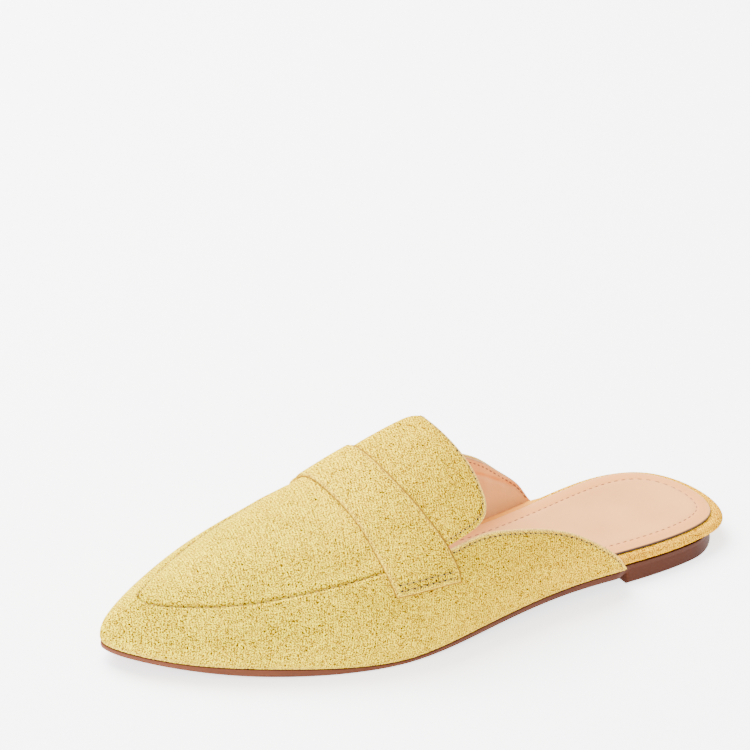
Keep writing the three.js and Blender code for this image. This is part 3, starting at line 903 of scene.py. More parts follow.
@dataclass(frozen=True)
class SmoothLeather:
    """Finished lining or insole leather: even, finely pored, with a soft low gloss.

    Attributes:
        name: Name of the material.
        base: Colour of the face.
        deep: Colour of its darker clouds.
        roughness: Middle roughness.
        pore_mm: Size of a pore.
        pore_depth: Depth of a pore in millimetres.
        crumple: Strength of its soft wrinkles.
        cut_and_shade: Colour of a cut edge; on the insole it is dark enough to paint the shade of the edge's
            unlit side as well.
        band: Colour of the painted reflected light in the band beside the stitches.
    """

    name: str
    base: str
    deep: str
    roughness: float = 0.5
    pore_mm: float = 0.5
    pore_depth: float = 0.15
    crumple: float = 0.0
    cut_and_shade: str = "#6b4330"
    band: str = "#d68a42"

    def make(self) -> bpy.types.Material:
        """Builds the material.

        Returns:
            The material.
        """
        made, shader, add, where = new_material(self.name)
        cloud = add("TexNoise", {"Scale": 55.0, "Detail": 4.0, "Roughness": 0.55}, {"Vector": where})
        tone = add("ValToRGB", {"stops": ((0.3, self.deep), (0.65, self.base))}, {"Fac": cloud})
        near = add("Attribute", {"attribute_name": "edge"}, output="Fac")
        # positive marks take the cut edge's colour, on the insole partly painted shade
        edged = add("Mix", {"data_type": "RGBA", 7: self.cut_and_shade}, {0: near, 6: tone}, 2)
        # painted reflected light: negative marks beside the insole's stitches take the band's colour
        beside = add("Math", {"operation": "MULTIPLY", 1: -1.0, "use_clamp": True}, {0: near})
        with_painted_reflection = add("Mix", {"data_type": "RGBA", 7: self.band}, {0: beside, 6: edged}, 2)
        pores = add("TexVoronoi", {"Scale": 1 / (self.pore_mm * MM)}, {"Vector": where})
        grain = add("Bump", {"Strength": 0.35, "Distance": self.pore_depth * MM}, {"Height": pores})
        wave = add("TexNoise", {"Scale": 190.0, "Detail": 2.0, "Distortion": 0.6}, {"Vector": where})
        wrinkle = {"Strength": self.crumple, "Distance": 0.8 * MM}
        soft = add("Bump", wrinkle, {"Height": wave, "Normal": grain})
        gloss = add("ValToRGB", {"stops": ((0.3, "#7a7a7a"), (0.7, "#8c8c8c"))}, {"Fac": cloud})
        # those two greys are 0.23 on average, in linear light
        level = add("Math", {"operation": "MULTIPLY", 1: self.roughness / 0.23}, {0: gloss})
        set_node(shader, {"Specular IOR Level": 0.3},
                 {"Base Color": with_painted_reflection, "Normal": soft, "Roughness": level})
        return made


@dataclass(frozen=True)
class MouldedRubber:
    """Thermoplastic rubber sole, satin from its mould, a little redder and lighter at the toe."""

    name: str
    toe: str
    heel: str
    roughness: float = 0.55
    run: tuple[float, float] = (-0.13, 0.1)

    def make(self) -> bpy.types.Material:
        """Builds the material.

        Returns:
            The material.
        """
        made, shader, add, where = new_material(self.name)
        split = add("SeparateXYZ", links={0: where}, output="Y")
        run = add("MapRange", dict(zip(("From Min", "From Max"), self.run)), {"Value": split})
        tone = add("ValToRGB", {"stops": ((0.0, self.toe), (1.0, self.heel))}, {"Fac": run})
        cloud = add("TexNoise", {"Scale": 60.0, "Detail": 5.0}, {"Vector": where})
        patch = add("ValToRGB", {"stops": ((0.3, "#e9e9e9"), (0.7, "#ffffff"))}, {"Fac": cloud})
        mottled = add("Mix", MULTIPLY, {6: tone, 7: patch}, 2)
        skin = add("TexNoise", {"Scale": 1500.0, "Detail": 2.0}, {"Vector": where})
        relief = add("Bump", {"Strength": 0.2, "Distance": 0.1 * MM}, {"Height": skin})
        set_node(shader, {"Roughness": self.roughness, "Specular IOR Level": 0.08},
                 {"Base Color": mottled, "Normal": relief})
        return made


@dataclass(frozen=True)
class SewingThread:
    """Twisted polyester thread with a slight gloss, or the painted shade at the bottom of a needle hole."""

    name: str
    base: str
    roughness: float = 0.6

    def make(self) -> bpy.types.Material:
        """Builds the material.

        Returns:
            The material.
        """
        made, shader, add, where = new_material(self.name)
        strands = add("TexNoise", {"Scale": 2600.0, "Detail": 1.0}, {"Vector": where}, "Color")
        tone = add("Mix", MULTIPLY | {0: 0.35, 6: self.base}, {7: strands}, 2)
        set_node(shader, {"Roughness": self.roughness}, {"Base Color": tone})
        return made


# ---- Sub-assemblies ----


@dataclass
class Upper:
    """Vamp, apron and quarters: a suede shell and its lining, open underneath, at the throat and behind.

    Attributes:
        last: The form.
        suede: Thickness of the suede.
        lining_gap: Gap between the suede and its lining.
        lining_in: Depth of the lining's face below the last.
        lining_drop: How far the lining's top edge stands below the suede's.
        seam_form: Height, place above the seam and half width of its groove and swells.
        tuck_form: The same for the suede drawn in at the sole.
        edge_swell: The same for the folded top edge.
        row_press: Height and half width of the pressed line along its stitches.
        fold_width: Width of the folded band inside the top edge.
        row_inset: Distance of the stitches from a folded edge.
        pitch: Distance from stitch to stitch along the top edges.
        seam_pitch: Distance from stitch to stitch along the apron seam.
        under_strap: Where the apron seam runs out below the strap.
        steps: Steps along the shoe at the tip, to the throat and to the quarters' end.
    """

    last: Last
    suede: float = 1.05
    lining_gap: float = 0.06
    lining_in: float = 1.75
    lining_drop: float = 0.25
    seam_form: tuple = ((-0.55, 0.0, 0.5), (0.32, -1.1, 0.9), (0.08, 1.4, 1.0))
    tuck_form: tuple = ((-0.55, 0.0, 0.75),)
    edge_swell: tuple[float, float, float] = (0.12, 0.0, 1.2)
    row_press: tuple[float, float] = (-0.14, 0.4)
    fold_width: float = 6.0
    row_inset: float = 1.7
    pitch: float = 2.4
    seam_pitch: float = 2.8
    under_strap: tuple[float, float] = (0.338, 0.352)
    steps: tuple[int, int, int] = (16, 68, 76)

    def __post_init__(self) -> None:
        """Sets the stations along the shoe, with one at the throat."""
        self.turns = stations([0, 0.05, self.last.throat, self.last.quarter_end], self.steps)
        self.throat_row = self.steps[0] + self.steps[1]

    def over(self, side: Side, turns: np.ndarray, rises: np.ndarray) -> tuple[np.ndarray, ...]:
        """Places along the shoe, and distances from the sole, from the seam and from the top edge.

        Args:
            side: Side of the foot.
            turns: Turns, one per row.
            rises: Rises, rows x columns.

        Returns:
            Place along, and the three distances in millimetres.
        """
        last, rib = self.last, self.last.rib(side, turns)[:, None]
        seam, top = last.seam[side](turns)[:, None], last.wall_top(side, turns)[:, None]
        return along_at(turns)[:, None], rises * rib, (rises - seam) * rib, (top - rises) * rib

    def before_strap(self, along: np.ndarray) -> np.ndarray:
        """1 in front of the strap and 0 behind it."""
        return 1 - smooth_step(along, *self.under_strap)

    def behind_throat(self, along: np.ndarray, run: float) -> np.ndarray:
        """0 in front of the throat and 1 a run behind it."""
        return smooth_step(along, self.last.throat, self.last.throat + run)

    def relief(self, side: Side, turns: np.ndarray, rises: np.ndarray) -> np.ndarray:
        """Small forms of the suede: seam, tucked lower edge, stitched edge and soft creases.

        Args:
            side: Side of the foot.
            turns: Turns, one per row.
            rises: Rises, rows x columns.

        Returns:
            The extra lift.
        """
        along, from_sole, from_seam, from_top = self.over(side, turns, rises)
        lift = swells(from_seam, self.seam_form) * self.before_strap(along)
        lift += swells(from_sole, self.tuck_form)
        height, half = self.row_press
        edge = swells(from_top, (self.edge_swell, (height, self.row_inset, half)))
        lift += self.behind_throat(along, 0.02) * edge
        for where, at, up, long, wide, depth, slant in CREASES:
            if where == side.name:
                turned = rises - up - slant * (along - at)
                lift += depth * bell(along - at, long) * bell(turned, wide)
        return lift

    def near_edge(self, side: Side, turns: np.ndarray, rises: np.ndarray) -> np.ndarray:
        """How near the folded top edge or the sole each point is, where its colour is paler."""
        along, from_sole, _, from_top = self.over(side, turns, rises)
        return self.behind_throat(along, 0.012) * bell(from_top, 0.85) + 0.4 * bell(from_sole, 1.0)

    def seam_shade(self, side: Side, turns: np.ndarray, rises: np.ndarray) -> np.ndarray:
        """How deep in the apron seam each point is, for the painted shade there."""
        along, _, from_seam, _ = self.over(side, turns, rises)
        return bell(from_seam, 0.4) * self.before_strap(along)

    def lining_face(self, side: Side, turns: np.ndarray, rises: np.ndarray) -> np.ndarray:
        """Lift of the lining's face: thicker along the folded edge, with a soft step below it.

        Args:
            side: Side of the foot.
            turns: Turns, one per row.
            rises: Rises, rows x columns.

        Returns:
            The lift.
        """
        along, _, _, from_top = self.over(side, turns, rises)
        width = self.fold_width * np.clip((self.last.quarter_end - 0.002 - along) / 0.12, 0.15, 1)
        shown = smooth_step(along, 0.39, 0.42)
        band = 1 - smooth_step((from_top - width) / 0.7, -1, 1)
        ripple = 0.13 * np.sin(along * 230 + rises * 9) * bell(from_top - width, 2.2)
        dent = 0.35 * bell(from_top - width - 0.6, 0.7)
        return -self.lining_in - 0.35 * band * shown + (dent + ripple) * shown

    def faces(self, side: Side, rises: np.ndarray, lifts: Sequence[Lift | float]) -> list[np.ndarray]:
        """Points of one side at each of some lifts, given as numbers or functions."""
        turns, across = self.turns[:, None], place_on(side, rises)
        return [self.last.shell(turns, across, self.level(lift, side, rises)) for lift in lifts]

    def level(self, lift: Lift | float, side: Side, rises: np.ndarray) -> np.ndarray:
        """Lift as an array, from a number or a function."""
        return lift(side, self.turns, rises) if callable(lift) else np.full(rises.shape, float(lift))

    def shell(self, name: str, lifts: Sequence[Lift | float], drop: float, columns: int,
              apron_columns: int, mark: float, marked: bool) -> bpy.types.Object:
        """Makes a closed shell between two lifts, with a round edge along the foot opening.

        Args:
            name: Name of the piece.
            lifts: Lift of the outside and of the inside, as numbers or functions.
            drop: How far its top edge stands below the upper's.
            columns: Columns up each wall.
            apron_columns: Columns on each half of the apron.
            mark: How strongly its round edge is marked for the finish.
            marked: Whether its folds are marked too, and its seams with painted shade.

        Returns:
            The shell.
        """
        last, turns, front = self.last, self.turns, self.throat_row + 1
        face, back = (self.level(lift, Side.OUTER, np.full((len(turns), 1), 0.4)) for lift in lifts)
        thick = abs(face - back).mean()
        sheets, borders = [], {}

        def share(key: str, *ends: np.ndarray) -> None:
            """Keeps the outer side's border points, and lays the inner side's on them."""
            for end, kept in zip(ends, borders.setdefault(key, [end.copy() for end in ends])):
                end[...] = kept

        for side in Side:
            turned = side is Side.OUTER
            lowered = (drop + thick / 2) / last.rib(side, turns) * (np.arange(len(turns)) > self.throat_row)
            top = last.wall_top(side, turns) - lowered * self.behind_throat(along_at(turns), 0.017)
            top = np.maximum(top, 0.012)[:, None]
            rises = top * eased(columns, 0.85)
            outside, inside = self.faces(side, rises, lifts)
            outside[:, 0, 2] = inside[:, 0, 2] = last.feather(along_at(turns))
            share("tip", outside[0], inside[0])
            # paler band at the folded edge and the sole, less the painted shade in the apron seam
            near = (self.near_edge(side, turns, rises) - self.seam_shade(side, turns, rises)) * marked
            sheets += [
                grid_sheet(outside, not turned, near), grid_sheet(inside, turned),
                grid_sheet(np.stack([outside[:, 0], inside[:, 0]], axis=1), turned),
                self.collar(side, rises, outside, inside, thick, mark),
                grid_sheet(np.stack([outside[-1], inside[-1]]), not turned),
            ]
            apron = top[:front] + (1 - top[:front]) * eased(apron_columns, 0.7)
            rises = np.vstack([apron, np.repeat(apron[-1:], len(turns) - front, axis=0)])
            over, under = (points[:front] for points in self.faces(side, rises, lifts))
            over[:, 0], under[:, 0] = outside[:front, -1], inside[:front, -1]
            share("top", over[:, -1], under[:, -1])
            share("front", over[0], under[0])
            # painted shade in the apron seam
            seam = -self.seam_shade(side, turns, rises)[:front] * marked
            sheets += [grid_sheet(over, not turned, seam), grid_sheet(under, turned),
                       grid_sheet(np.stack([over[-1], under[-1]]), not turned)]
        piece = join(name, sheets)
        smooth(piece, 55)
        return piece

    def collar(self, side: Side, rises: np.ndarray, outside: np.ndarray, inside: np.ndarray,
               thick: float, mark: float) -> bpy.types.Object:
        """Round edge from the outside to the inside along the foot opening.

        Args:
            side: Side of the foot.
            rises: Rises of the wall's points.
            outside: Its outer points.
            inside: Its inner points.
            thick: Thickness of the wall.
            mark: The finish's mark.

        Returns:
            The edge, as a sheet.
        """
        turns, tops = self.turns[self.throat_row:], rises[self.throat_row:, -1]
        out, into = outside[self.throat_row:, -1, None], inside[self.throat_row:, -1, None]
        over, under = (self.last.point(turns, place_on(side, rise)) for rise in (tops + 0.01, tops))
        up = over - under
        up /= np.linalg.norm(up, axis=-1, keepdims=True)
        row, end = np.arange(len(turns)), len(turns) - 1
        fade = smooth_step(row, 0, 6) * (1 - smooth_step(row, end - 4, end))
        angles = np.linspace(0, np.pi, 9)
        bulge = fade[:, None] * np.sin(angles) * thick / 2
        arc = mix(out, into, (1 - np.cos(angles))[:, None] / 2) + up[:, None] * bulge[..., None]
        return grid_sheet(arc, side is not Side.OUTER, np.full(arc.shape[:2], mark))

    def suede_shell(self) -> bpy.types.Object:
        """The suede, with its seam, folds and creases."""
        return self.shell("upper_suede", (self.relief, -self.suede), 0.0, 54, 40, 0.9, True)

    def lining_shell(self) -> bpy.types.Object:
        """The lining inside the suede."""
        lifts = (-self.suede - self.lining_gap, self.lining_face)
        return self.shell("upper_lining", lifts, self.lining_drop, 56, 12, 0.55, False)

    def rows(self) -> tuple[list[StitchRow], list[StitchRow], list[StitchRow]]:
        """Stitch rows: the apron seam, the top edges outside, and the top edges inside.

        Returns:
            Three lists of rows, the outer side's first.
        """
        last = self.last
        seam_turns = stations([0.012, 0.33], [160])
        top_turns = stations([0.425, 0.744], [160])
        seams, tops, insides = [], [], []
        for side in Side:
            rise = last.seam[side](seam_turns) - 0.15 / last.rib(side, seam_turns)
            place = place_on(side, rise)
            seams.append(row_on(last, seam_turns, place, -0.22, self.seam_pitch))
            rise = last.wall_top(side, top_turns) - self.row_inset / last.rib(side, top_turns)
            place = place_on(side, rise)
            tops.append(row_on(last, top_turns, place, -0.05, self.pitch))
            insides.append(row_on(last, top_turns, place, -self.lining_in - 0.36, self.pitch, inside=True))
        return seams, tops, insides


@dataclass
class Tongue:
    """The apron carried on as a standing tab with round corners, suede outside and lined inside.

    Attributes:
        last: The form.
        end: Where along the shoe its rear edge stands in the middle.
        sweep_back: How much further back the rear edge stands towards its corners.
        corner: Where its sides turn into the corners.
        roundness: Power of the corners' curve.
        under_strap: How far its start lies below the strap, as a share of the shoe.
        suede: Thickness of the suede.
        thickness: Thickness of both layers.
        rise: How far its sides stand off the last.
        roll: How far its rear edge rolls down.
        roll_run: Length of that roll.
        row_inset: Distance of the stitches from its edge.
        pitch: Distance from stitch to stitch.
    """

    last: Last
    end: float = 0.503
    sweep_back: float = 0.042
    corner: float = 0.436
    roundness: float = 3.6
    under_strap: float = 0.012
    suede: float = 1.05
    thickness: float = 1.8
    rise: float = 0.5
    roll: float = 2.1
    roll_run: float = 8.0
    row_inset: float = 1.6
    pitch: float = 2.3

    def place(self, down: np.ndarray, over: np.ndarray, inset: float = 0.0) -> tuple:
        """Turn, place across and lift of a point of the tab.

        Args:
            down: 0 under the strap to 1 at the free end.
            over: 0 at the outer side to 1 at the inner side.
            inset: How far inside the tab's edge the sides and the free end are taken.

        Returns:
            Turns, places across and lifts.
        """
        last = self.last
        share = np.sin(mix(-1.0, 1.0, over) * np.pi / 2)
        reach = np.maximum(1 - np.abs(share) ** self.roundness, 0) ** (1 / self.roundness)
        full_end = mix(self.corner, self.end + self.sweep_back * share * share, reach)
        end = full_end - inset / last.length * reach
        along = mix(last.throat + last.gap / last.length - self.under_strap, end, down)
        turn = turn_at(along)
        across = np.zeros(turn.shape)
        for side in Side:
            edge = np.maximum(last.seam[side](turn), last.topline[side](along))
            rib = last.rib(side, turn.ravel()).reshape(turn.shape)
            rise = mix(1.0, edge + (last.gap * 1.6 + inset) / rib, np.abs(share))
            across = np.where((share < 0) == (side is Side.OUTER), place_on(side, rise), across)
        strap = np.array(STRAP)
        behind = (along - curve_through(strap[:, 0], strap[:, 2])(across)) * last.length
        near_end = np.clip(1 - (full_end - along) * last.length / self.roll_run, 0, 1)
        rolled = self.roll * (1 - share * share) ** 3 * near_end**2
        return turn, across, self.rise * share * share * smooth_step(behind, 0.0, 4.0) - rolled

    def build(self, name: str, low: float, high: float, inset: float) -> bpy.types.Object:
        """Makes one layer of the tab.

        Args:
            name: Name of the piece.
            low: Lift of its underside.
            high: Lift of its face.
            inset: How far its edge stands inside the tab's.

        Returns:
            The layer.
        """
        down, over = np.meshgrid(eased(56, 0.8), eased(110, 0.55), indexing="ij")
        turn, across, stand = self.place(down, over, inset)
        points, normals = self.last.shell(turn, across, stand), self.last.normal(turn, across)
        piece = pillow(name, points, normals, low, high, pale=float(high >= 0))
        smooth(piece, 60)
        return piece

    def edge_row(self) -> StitchRow:
        """Stitches round the free edge of the tab.

        Returns:
            The row.
        """
        side, rear = np.linspace(0.45, 1, 60), eased(240, 0.3)[1:-1]
        down = np.concatenate([side, np.ones(len(rear)), side[::-1]])
        over = np.concatenate([np.zeros(len(side)), rear, np.ones(len(side))])
        turn, across, stand = self.place(down, over, self.row_inset)
        return row_on(self.last, turn, across, stand, self.pitch, -0.02)


@dataclass
class SaddleStrap:
    """Band of folded suede laid over the instep, its ends sewn down with two rows.

    Attributes:
        last: The form.
        low: Lift of its underside.
        high: Lift of its face.
        length: Length over the instep.
        end_slope: How far its ends lean.
        puff: How far it swells where it bridges the apron seam.
        pressed: How deep the rows of stitches lie.
        row_insets: Distances of the rows from the ends.
        pitch: Distance from stitch to stitch.
        shadow_grown: How far the painted contact shadow stands out beside, before and behind, as shares of
            the band.
    """

    last: Last
    low: float = 0.06
    high: float = 1.4
    length: float = 104.0
    end_slope: float = 0.07
    puff: float = 0.22
    pressed: float = 0.16
    row_insets: tuple[float, float] = (1.7, 3.7)
    pitch: float = 2.3
    shadow_grown: tuple[float, float, float] = (0.004, 0.009, 0.04)

    def place(self, down: np.ndarray, over: np.ndarray) -> tuple[np.ndarray, np.ndarray]:
        """Turn and place across of a point of the band, from its front edge and its outer end.

        Args:
            down: 0 at the front edge to 1 at the rear edge.
            over: 0 at the outer end to 1 at the inner end.

        Returns:
            Turns and places across.
        """
        rows = np.array(STRAP)
        front, rear = curve_through(rows[:, 0], rows[:, 1]), curve_through(rows[:, 0], rows[:, 2])
        lean = self.end_slope * (down - 0.5)
        across = mix(rows[0, 0] - lean, rows[-1, 0] + lean, over)
        return turn_at(mix(front(across), rear(across), down)), across

    def strip(self, name: str, down: np.ndarray, over: np.ndarray,
              *form: float | np.ndarray) -> bpy.types.Object:
        """Makes a strip over the band.

        Args:
            name: Name of the piece.
            down: Places from its front edge.
            over: Places from its outer end.
            form: The rest of what pillow takes, from its low lift on.

        Returns:
            The strip.
        """
        turn, across = self.place(down, over)
        piece = pillow(name, self.last.point(turn, across), self.last.normal(turn, across), *form)
        smooth(piece, 60)
        return piece

    def build(self) -> bpy.types.Object:
        """Makes the band, slightly puffed where it bridges the apron seam.

        Returns:
            The band.
        """
        down, over = np.meshgrid(eased(44, 0.8), eased(130, 0.75), indexing="ij")
        ends = np.minimum(over, 1 - over)
        puff = self.puff * np.sin(np.pi * down) * smooth_step(ends, 0.05, 0.2)
        rows = swells(ends * self.length, [(-self.pressed, inset, 0.45) for inset in self.row_insets])
        return self.strip("strap_band", down, over, self.low, self.high, puff + rows, 0.15)

    def contact_shadow_strip(self) -> bpy.types.Object:
        """Thin dark sheet under the band; its edge, standing out past the band, is a painted contact shadow
        where the band meets the upper.

        Returns:
            The painted shadow sheet.
        """
        beside, before, behind = self.shadow_grown
        down, over = np.meshgrid(eased(44, 0.8), eased(130, 0.75), indexing="ij")
        # the painted shadow stands higher towards the rear edge, so that it shows behind the band
        high = 0.34 + 0.4 * smooth_step(down, 0.5, 1.0)
        down, over = mix(-before, 1 + behind, down), mix(-beside, 1 + beside, over)
        return self.strip("strap_painted_shadow", down, over, 0.02, high)

    def end_rows(self) -> list[StitchRow]:
        """Two rows of stitches at each end of the band.

        Returns:
            The four rows.
        """
        rows, down = [], np.linspace(0.07, 0.93, 40)
        for over, sign in ((0.0, 1), (1.0, -1)):
            turn, across = self.place(down, np.full(len(down), over))
            line = row_on(self.last, turn, across, self.high, self.pitch, -0.1)
            rows += [line.moved_in(sign * inset) for inset in self.row_insets]
        return rows


@dataclass
class Bottom:
    """Sole unit with its low heel, the wrapped footbed with its soft rim, and the insole.

    Attributes:
        last: The form.
        sole_inset: How far the plate's edge stands in from the outline.
        heel_front: Where the heel starts.
        heel_side_inset: How far the heel's sides stand in.
        heel_back_inset: How far the heel's back stands in.
        heel_flare: How much wider the heel is at its foot.
        wall: Thickness of the upper's wall.
        clear: Gap between that wall and the footbed or insole.
        footbed: Thickness of the footbed.
        rim_side_inset: How far its rim stands in beside the heel seat.
        rim_back_overhang: How far its rim stands out behind.
        insole: Thickness of the insole.
        toe_margin: Distance of the insole from the wall at the toe.
        insole_margin: The same behind the ball.
        stitch_inset: Distance of the stitches from the insole's edge.
        pitch: Distance from stitch to stitch.
    """

    last: Last
    sole_inset: float = 0.3
    heel_front: float = 0.764
    heel_side_inset: float = 3.0
    heel_back_inset: float = 6.3
    heel_flare: float = 1.0
    wall: float = 1.8
    clear: float = 0.3
    footbed: float = 2.9
    rim_side_inset: float = 0.9
    rim_back_overhang: float = 0.6
    insole: float = 1.0
    toe_margin: float = 1.2
    insole_margin: float = 4.2
    stitch_inset: float = 5.0
    pitch: float = 3.2

    def heel_shares(self, turn: np.ndarray) -> tuple[np.ndarray, np.ndarray]:
        """Shares of the way from waist to heel and from the heel's sides to its back."""
        along = along_at(turn)
        return smooth_step(along, 0.74, 0.766), smooth_step(along, 0.9, 0.99)

    def sole_edge(self, turn: np.ndarray) -> np.ndarray:
        """How far the sole's edge stands in from the outline."""
        to_heel, to_back = self.heel_shares(turn)
        return mix(self.sole_inset, mix(self.heel_side_inset, self.heel_back_inset, to_back), to_heel)

    def footbed_edge(self, turn: np.ndarray) -> np.ndarray:
        """How far the footbed's edge stands in from the outline."""
        to_heel, to_back = self.heel_shares(turn)
        return self.wall + self.clear + to_heel * mix(self.rim_side_inset, -self.rim_back_overhang, to_back)

    def loops(self, turns: np.ndarray, rings: Sequence[Ring], across: int) -> np.ndarray:
        """Cross-sections from rings round the outline.

        Args:
            turns: Stations.
            rings: Inset and height functions of each ring, from the underside to the top face.
            across: Points across each face.

        Returns:
            Rows of closed loops of points.
        """
        ring_points = {}
        for side in Side:
            made = []
            for inset, height in rings:
                x, y, _, _ = self.last.outline(side, turns, inset(turns))
                made.append(np.stack([x, y, height(self.last.along_of(y))], axis=-1))
            ring_points[side] = np.stack(made, axis=1)
        outer, inner = ring_points[Side.OUTER], ring_points[Side.INNER]
        share = np.linspace(0, 1, across + 2)[1:-1][None, :, None]
        over = mix(outer[:, -1:], inner[:, -1:], share)
        under = mix(inner[:, :1], outer[:, :1], share)
        return np.concatenate([outer, over, inner[:, ::-1], under], axis=1)

    def sole_unit(self) -> bpy.types.Object:
        """Sole plate and heel in one moulding, with softened edges.

        Returns:
            The sole unit.
        """
        last = self.last

        def ring(extra: float, share: float) -> Ring:
            """Ring of the plate, a share of the way up its edge, upright where the heel is below."""
            return (lambda t: self.sole_edge(t) + extra * (1 - self.heel_shares(t)[0] * (share < 0.9)),
                    lambda a: mix(last.sole_bottom(a), last.sole_top(a), share))

        profile = ((1.1, 0), (0.6, 0.02), (0.22, 0.14), (0.03, 0.34), (0, 0.6), (0, 0.92), (0.06, 1))
        plate_rings = [ring(*step) for step in profile]
        turns = stations([0, 0.08, 0.36, 0.752, 1], [16, 40, 56, 50])
        plate = sweep("plate", self.loops(turns, plate_rings, 6))

        def heel_ring(extra: float, share: float) -> Ring:
            """Ring of the heel, a share of the way up to the middle of the plate."""
            return (lambda t: self.sole_edge(t) + extra - self.heel_flare * (1 - share),
                    lambda a: (last.sole_bottom(a) + last.sole_top(a)) / 2 * share)

        profile = ((0.75, 0), (0.35, 0.015), (0.1, 0.07), (0, 0.16), (0, 0.6), (0.01, 0.97), (0.3, 1))
        heel_rings = [heel_ring(*step) for step in profile]
        heel = sweep("heel", self.loops(stations([self.heel_front, 0.93, 1], [24, 26]), heel_rings, 6))
        apply_modifier(heel, "BEVEL", width=0.35 * MM, segments=2, limit_method="ANGLE",
                       angle_limit=math.radians(60))
        apply_modifier(plate, "BOOLEAN", object=heel, operation="UNION", solver="EXACT")
        bpy.data.objects.remove(heel)
        piece = join("sole_unit", [plate])  # merges the doubles that the union leaves
        smooth(piece, 35)
        return piece

    def footbed_wrap(self) -> bpy.types.Object:
        """Board wrapped in suede, with a soft round rim that shows behind; in front of the heel, inside the
        shoe, its colour is painted shade.

        Returns:
            The footbed.
        """
        last = self.last
        profile = ((1.6, 0.0), (0.8, 0.02), (0.3, 0.1), (0.06, 0.25), (0, 0.42), (0.08, 0.58), (0.32, 0.73),
                   (0.75, 0.86), (1.4, 0.95), (2.3, 0.99), (3.4, 1.0), (4.6, 0.99))
        rings = [((lambda t, e=extra: self.footbed_edge(t) + e),
                  (lambda a, s=share: last.feather(a) + s * self.footbed)) for extra, share in profile]
        turns = stations([0.03, 0.08, 0.36, 0.752, 1], [8, 30, 56, 64])
        # painted shade: inside the shoe the footbed takes its finish's darker fold colour
        inside = 1 - smooth_step(along_at(turns), 0.725, 0.765)
        piece = sweep("footbed_wrap", self.loops(turns, rings, 14), inside[:, None])
        smooth(piece, 50)
        return piece

    def insole_edge(self, turn: np.ndarray) -> np.ndarray:
        """How far the insole's edge stands in from the outline."""
        back = smooth_step(along_at(turn), 0.3, 0.5)
        return self.wall + self.clear + mix(self.toe_margin, self.insole_margin, back)

    def insole_sock(self) -> bpy.types.Object:
        """Thin padded sock: a cut edge, a pressed stitch line and a soft hollow inside it.

        Returns:
            The insole.
        """
        last = self.last
        inset = self.stitch_inset
        profile = ((0.2, 0.0), (0.0, 0.12), (0.0, 0.7), (0.1, 0.86), (0.35, 0.96), (0.9, 1.02), (2.2, 1.1),
                   (inset - 1.2, 1.12), (inset - 0.5, 1.05), (inset, 0.93), (inset + 0.5, 1.02),
                   (inset + 1.4, 1.05), (inset + 3.0, 0.9), (inset + 5.5, 0.68), (inset + 8.5, 0.58))
        rings = [((lambda t, e=extra: self.insole_edge(t) + e * np.clip(along_at(t) / 0.35, 0.25, 1)),
                  (lambda a, s=share: last.feather(a) + self.footbed + 0.02 + s * self.insole))
                 for extra, share in profile]
        turns = stations([0.055, 0.12, 0.36, 0.752, 1], [8, 28, 56, 64])
        side = np.zeros(len(profile))
        side[:10] = 1.0, 1.0, 1.0, 0.6, 0.0, -0.7, -1.0, -1.0, -0.9, -0.5  # cut edge, darkened as painted shade, then the band of painted reflected light
        cut_and_shade = np.concatenate([side, np.zeros(10), side[::-1], np.ones(10)])
        piece = sweep("insole_sock", self.loops(turns, rings, 10), cut_and_shade)
        smooth(piece, 50)
        return piece

    def insole_row(self) -> StitchRow:
        """Stitches in a loop inside the insole's edge.

        Returns:
            The row.
        """
        turns = stations([0.42, 0.752, 1], [90, 160])
        lines = []
        for side in Side:
            x, y, _, _ = self.last.outline(side, turns, self.insole_edge(turns) + self.stitch_inset)
            z = self.last.feather(self.last.along_of(y)) + self.footbed + self.insole * 0.97
            lines.append(np.stack([x, y, z], axis=-1))
        points = np.vstack([lines[0], lines[1][-2::-1]])
        return StitchRow(points, np.tile([0.0, 0.0, 1.0], (len(points), 1)), self.pitch)


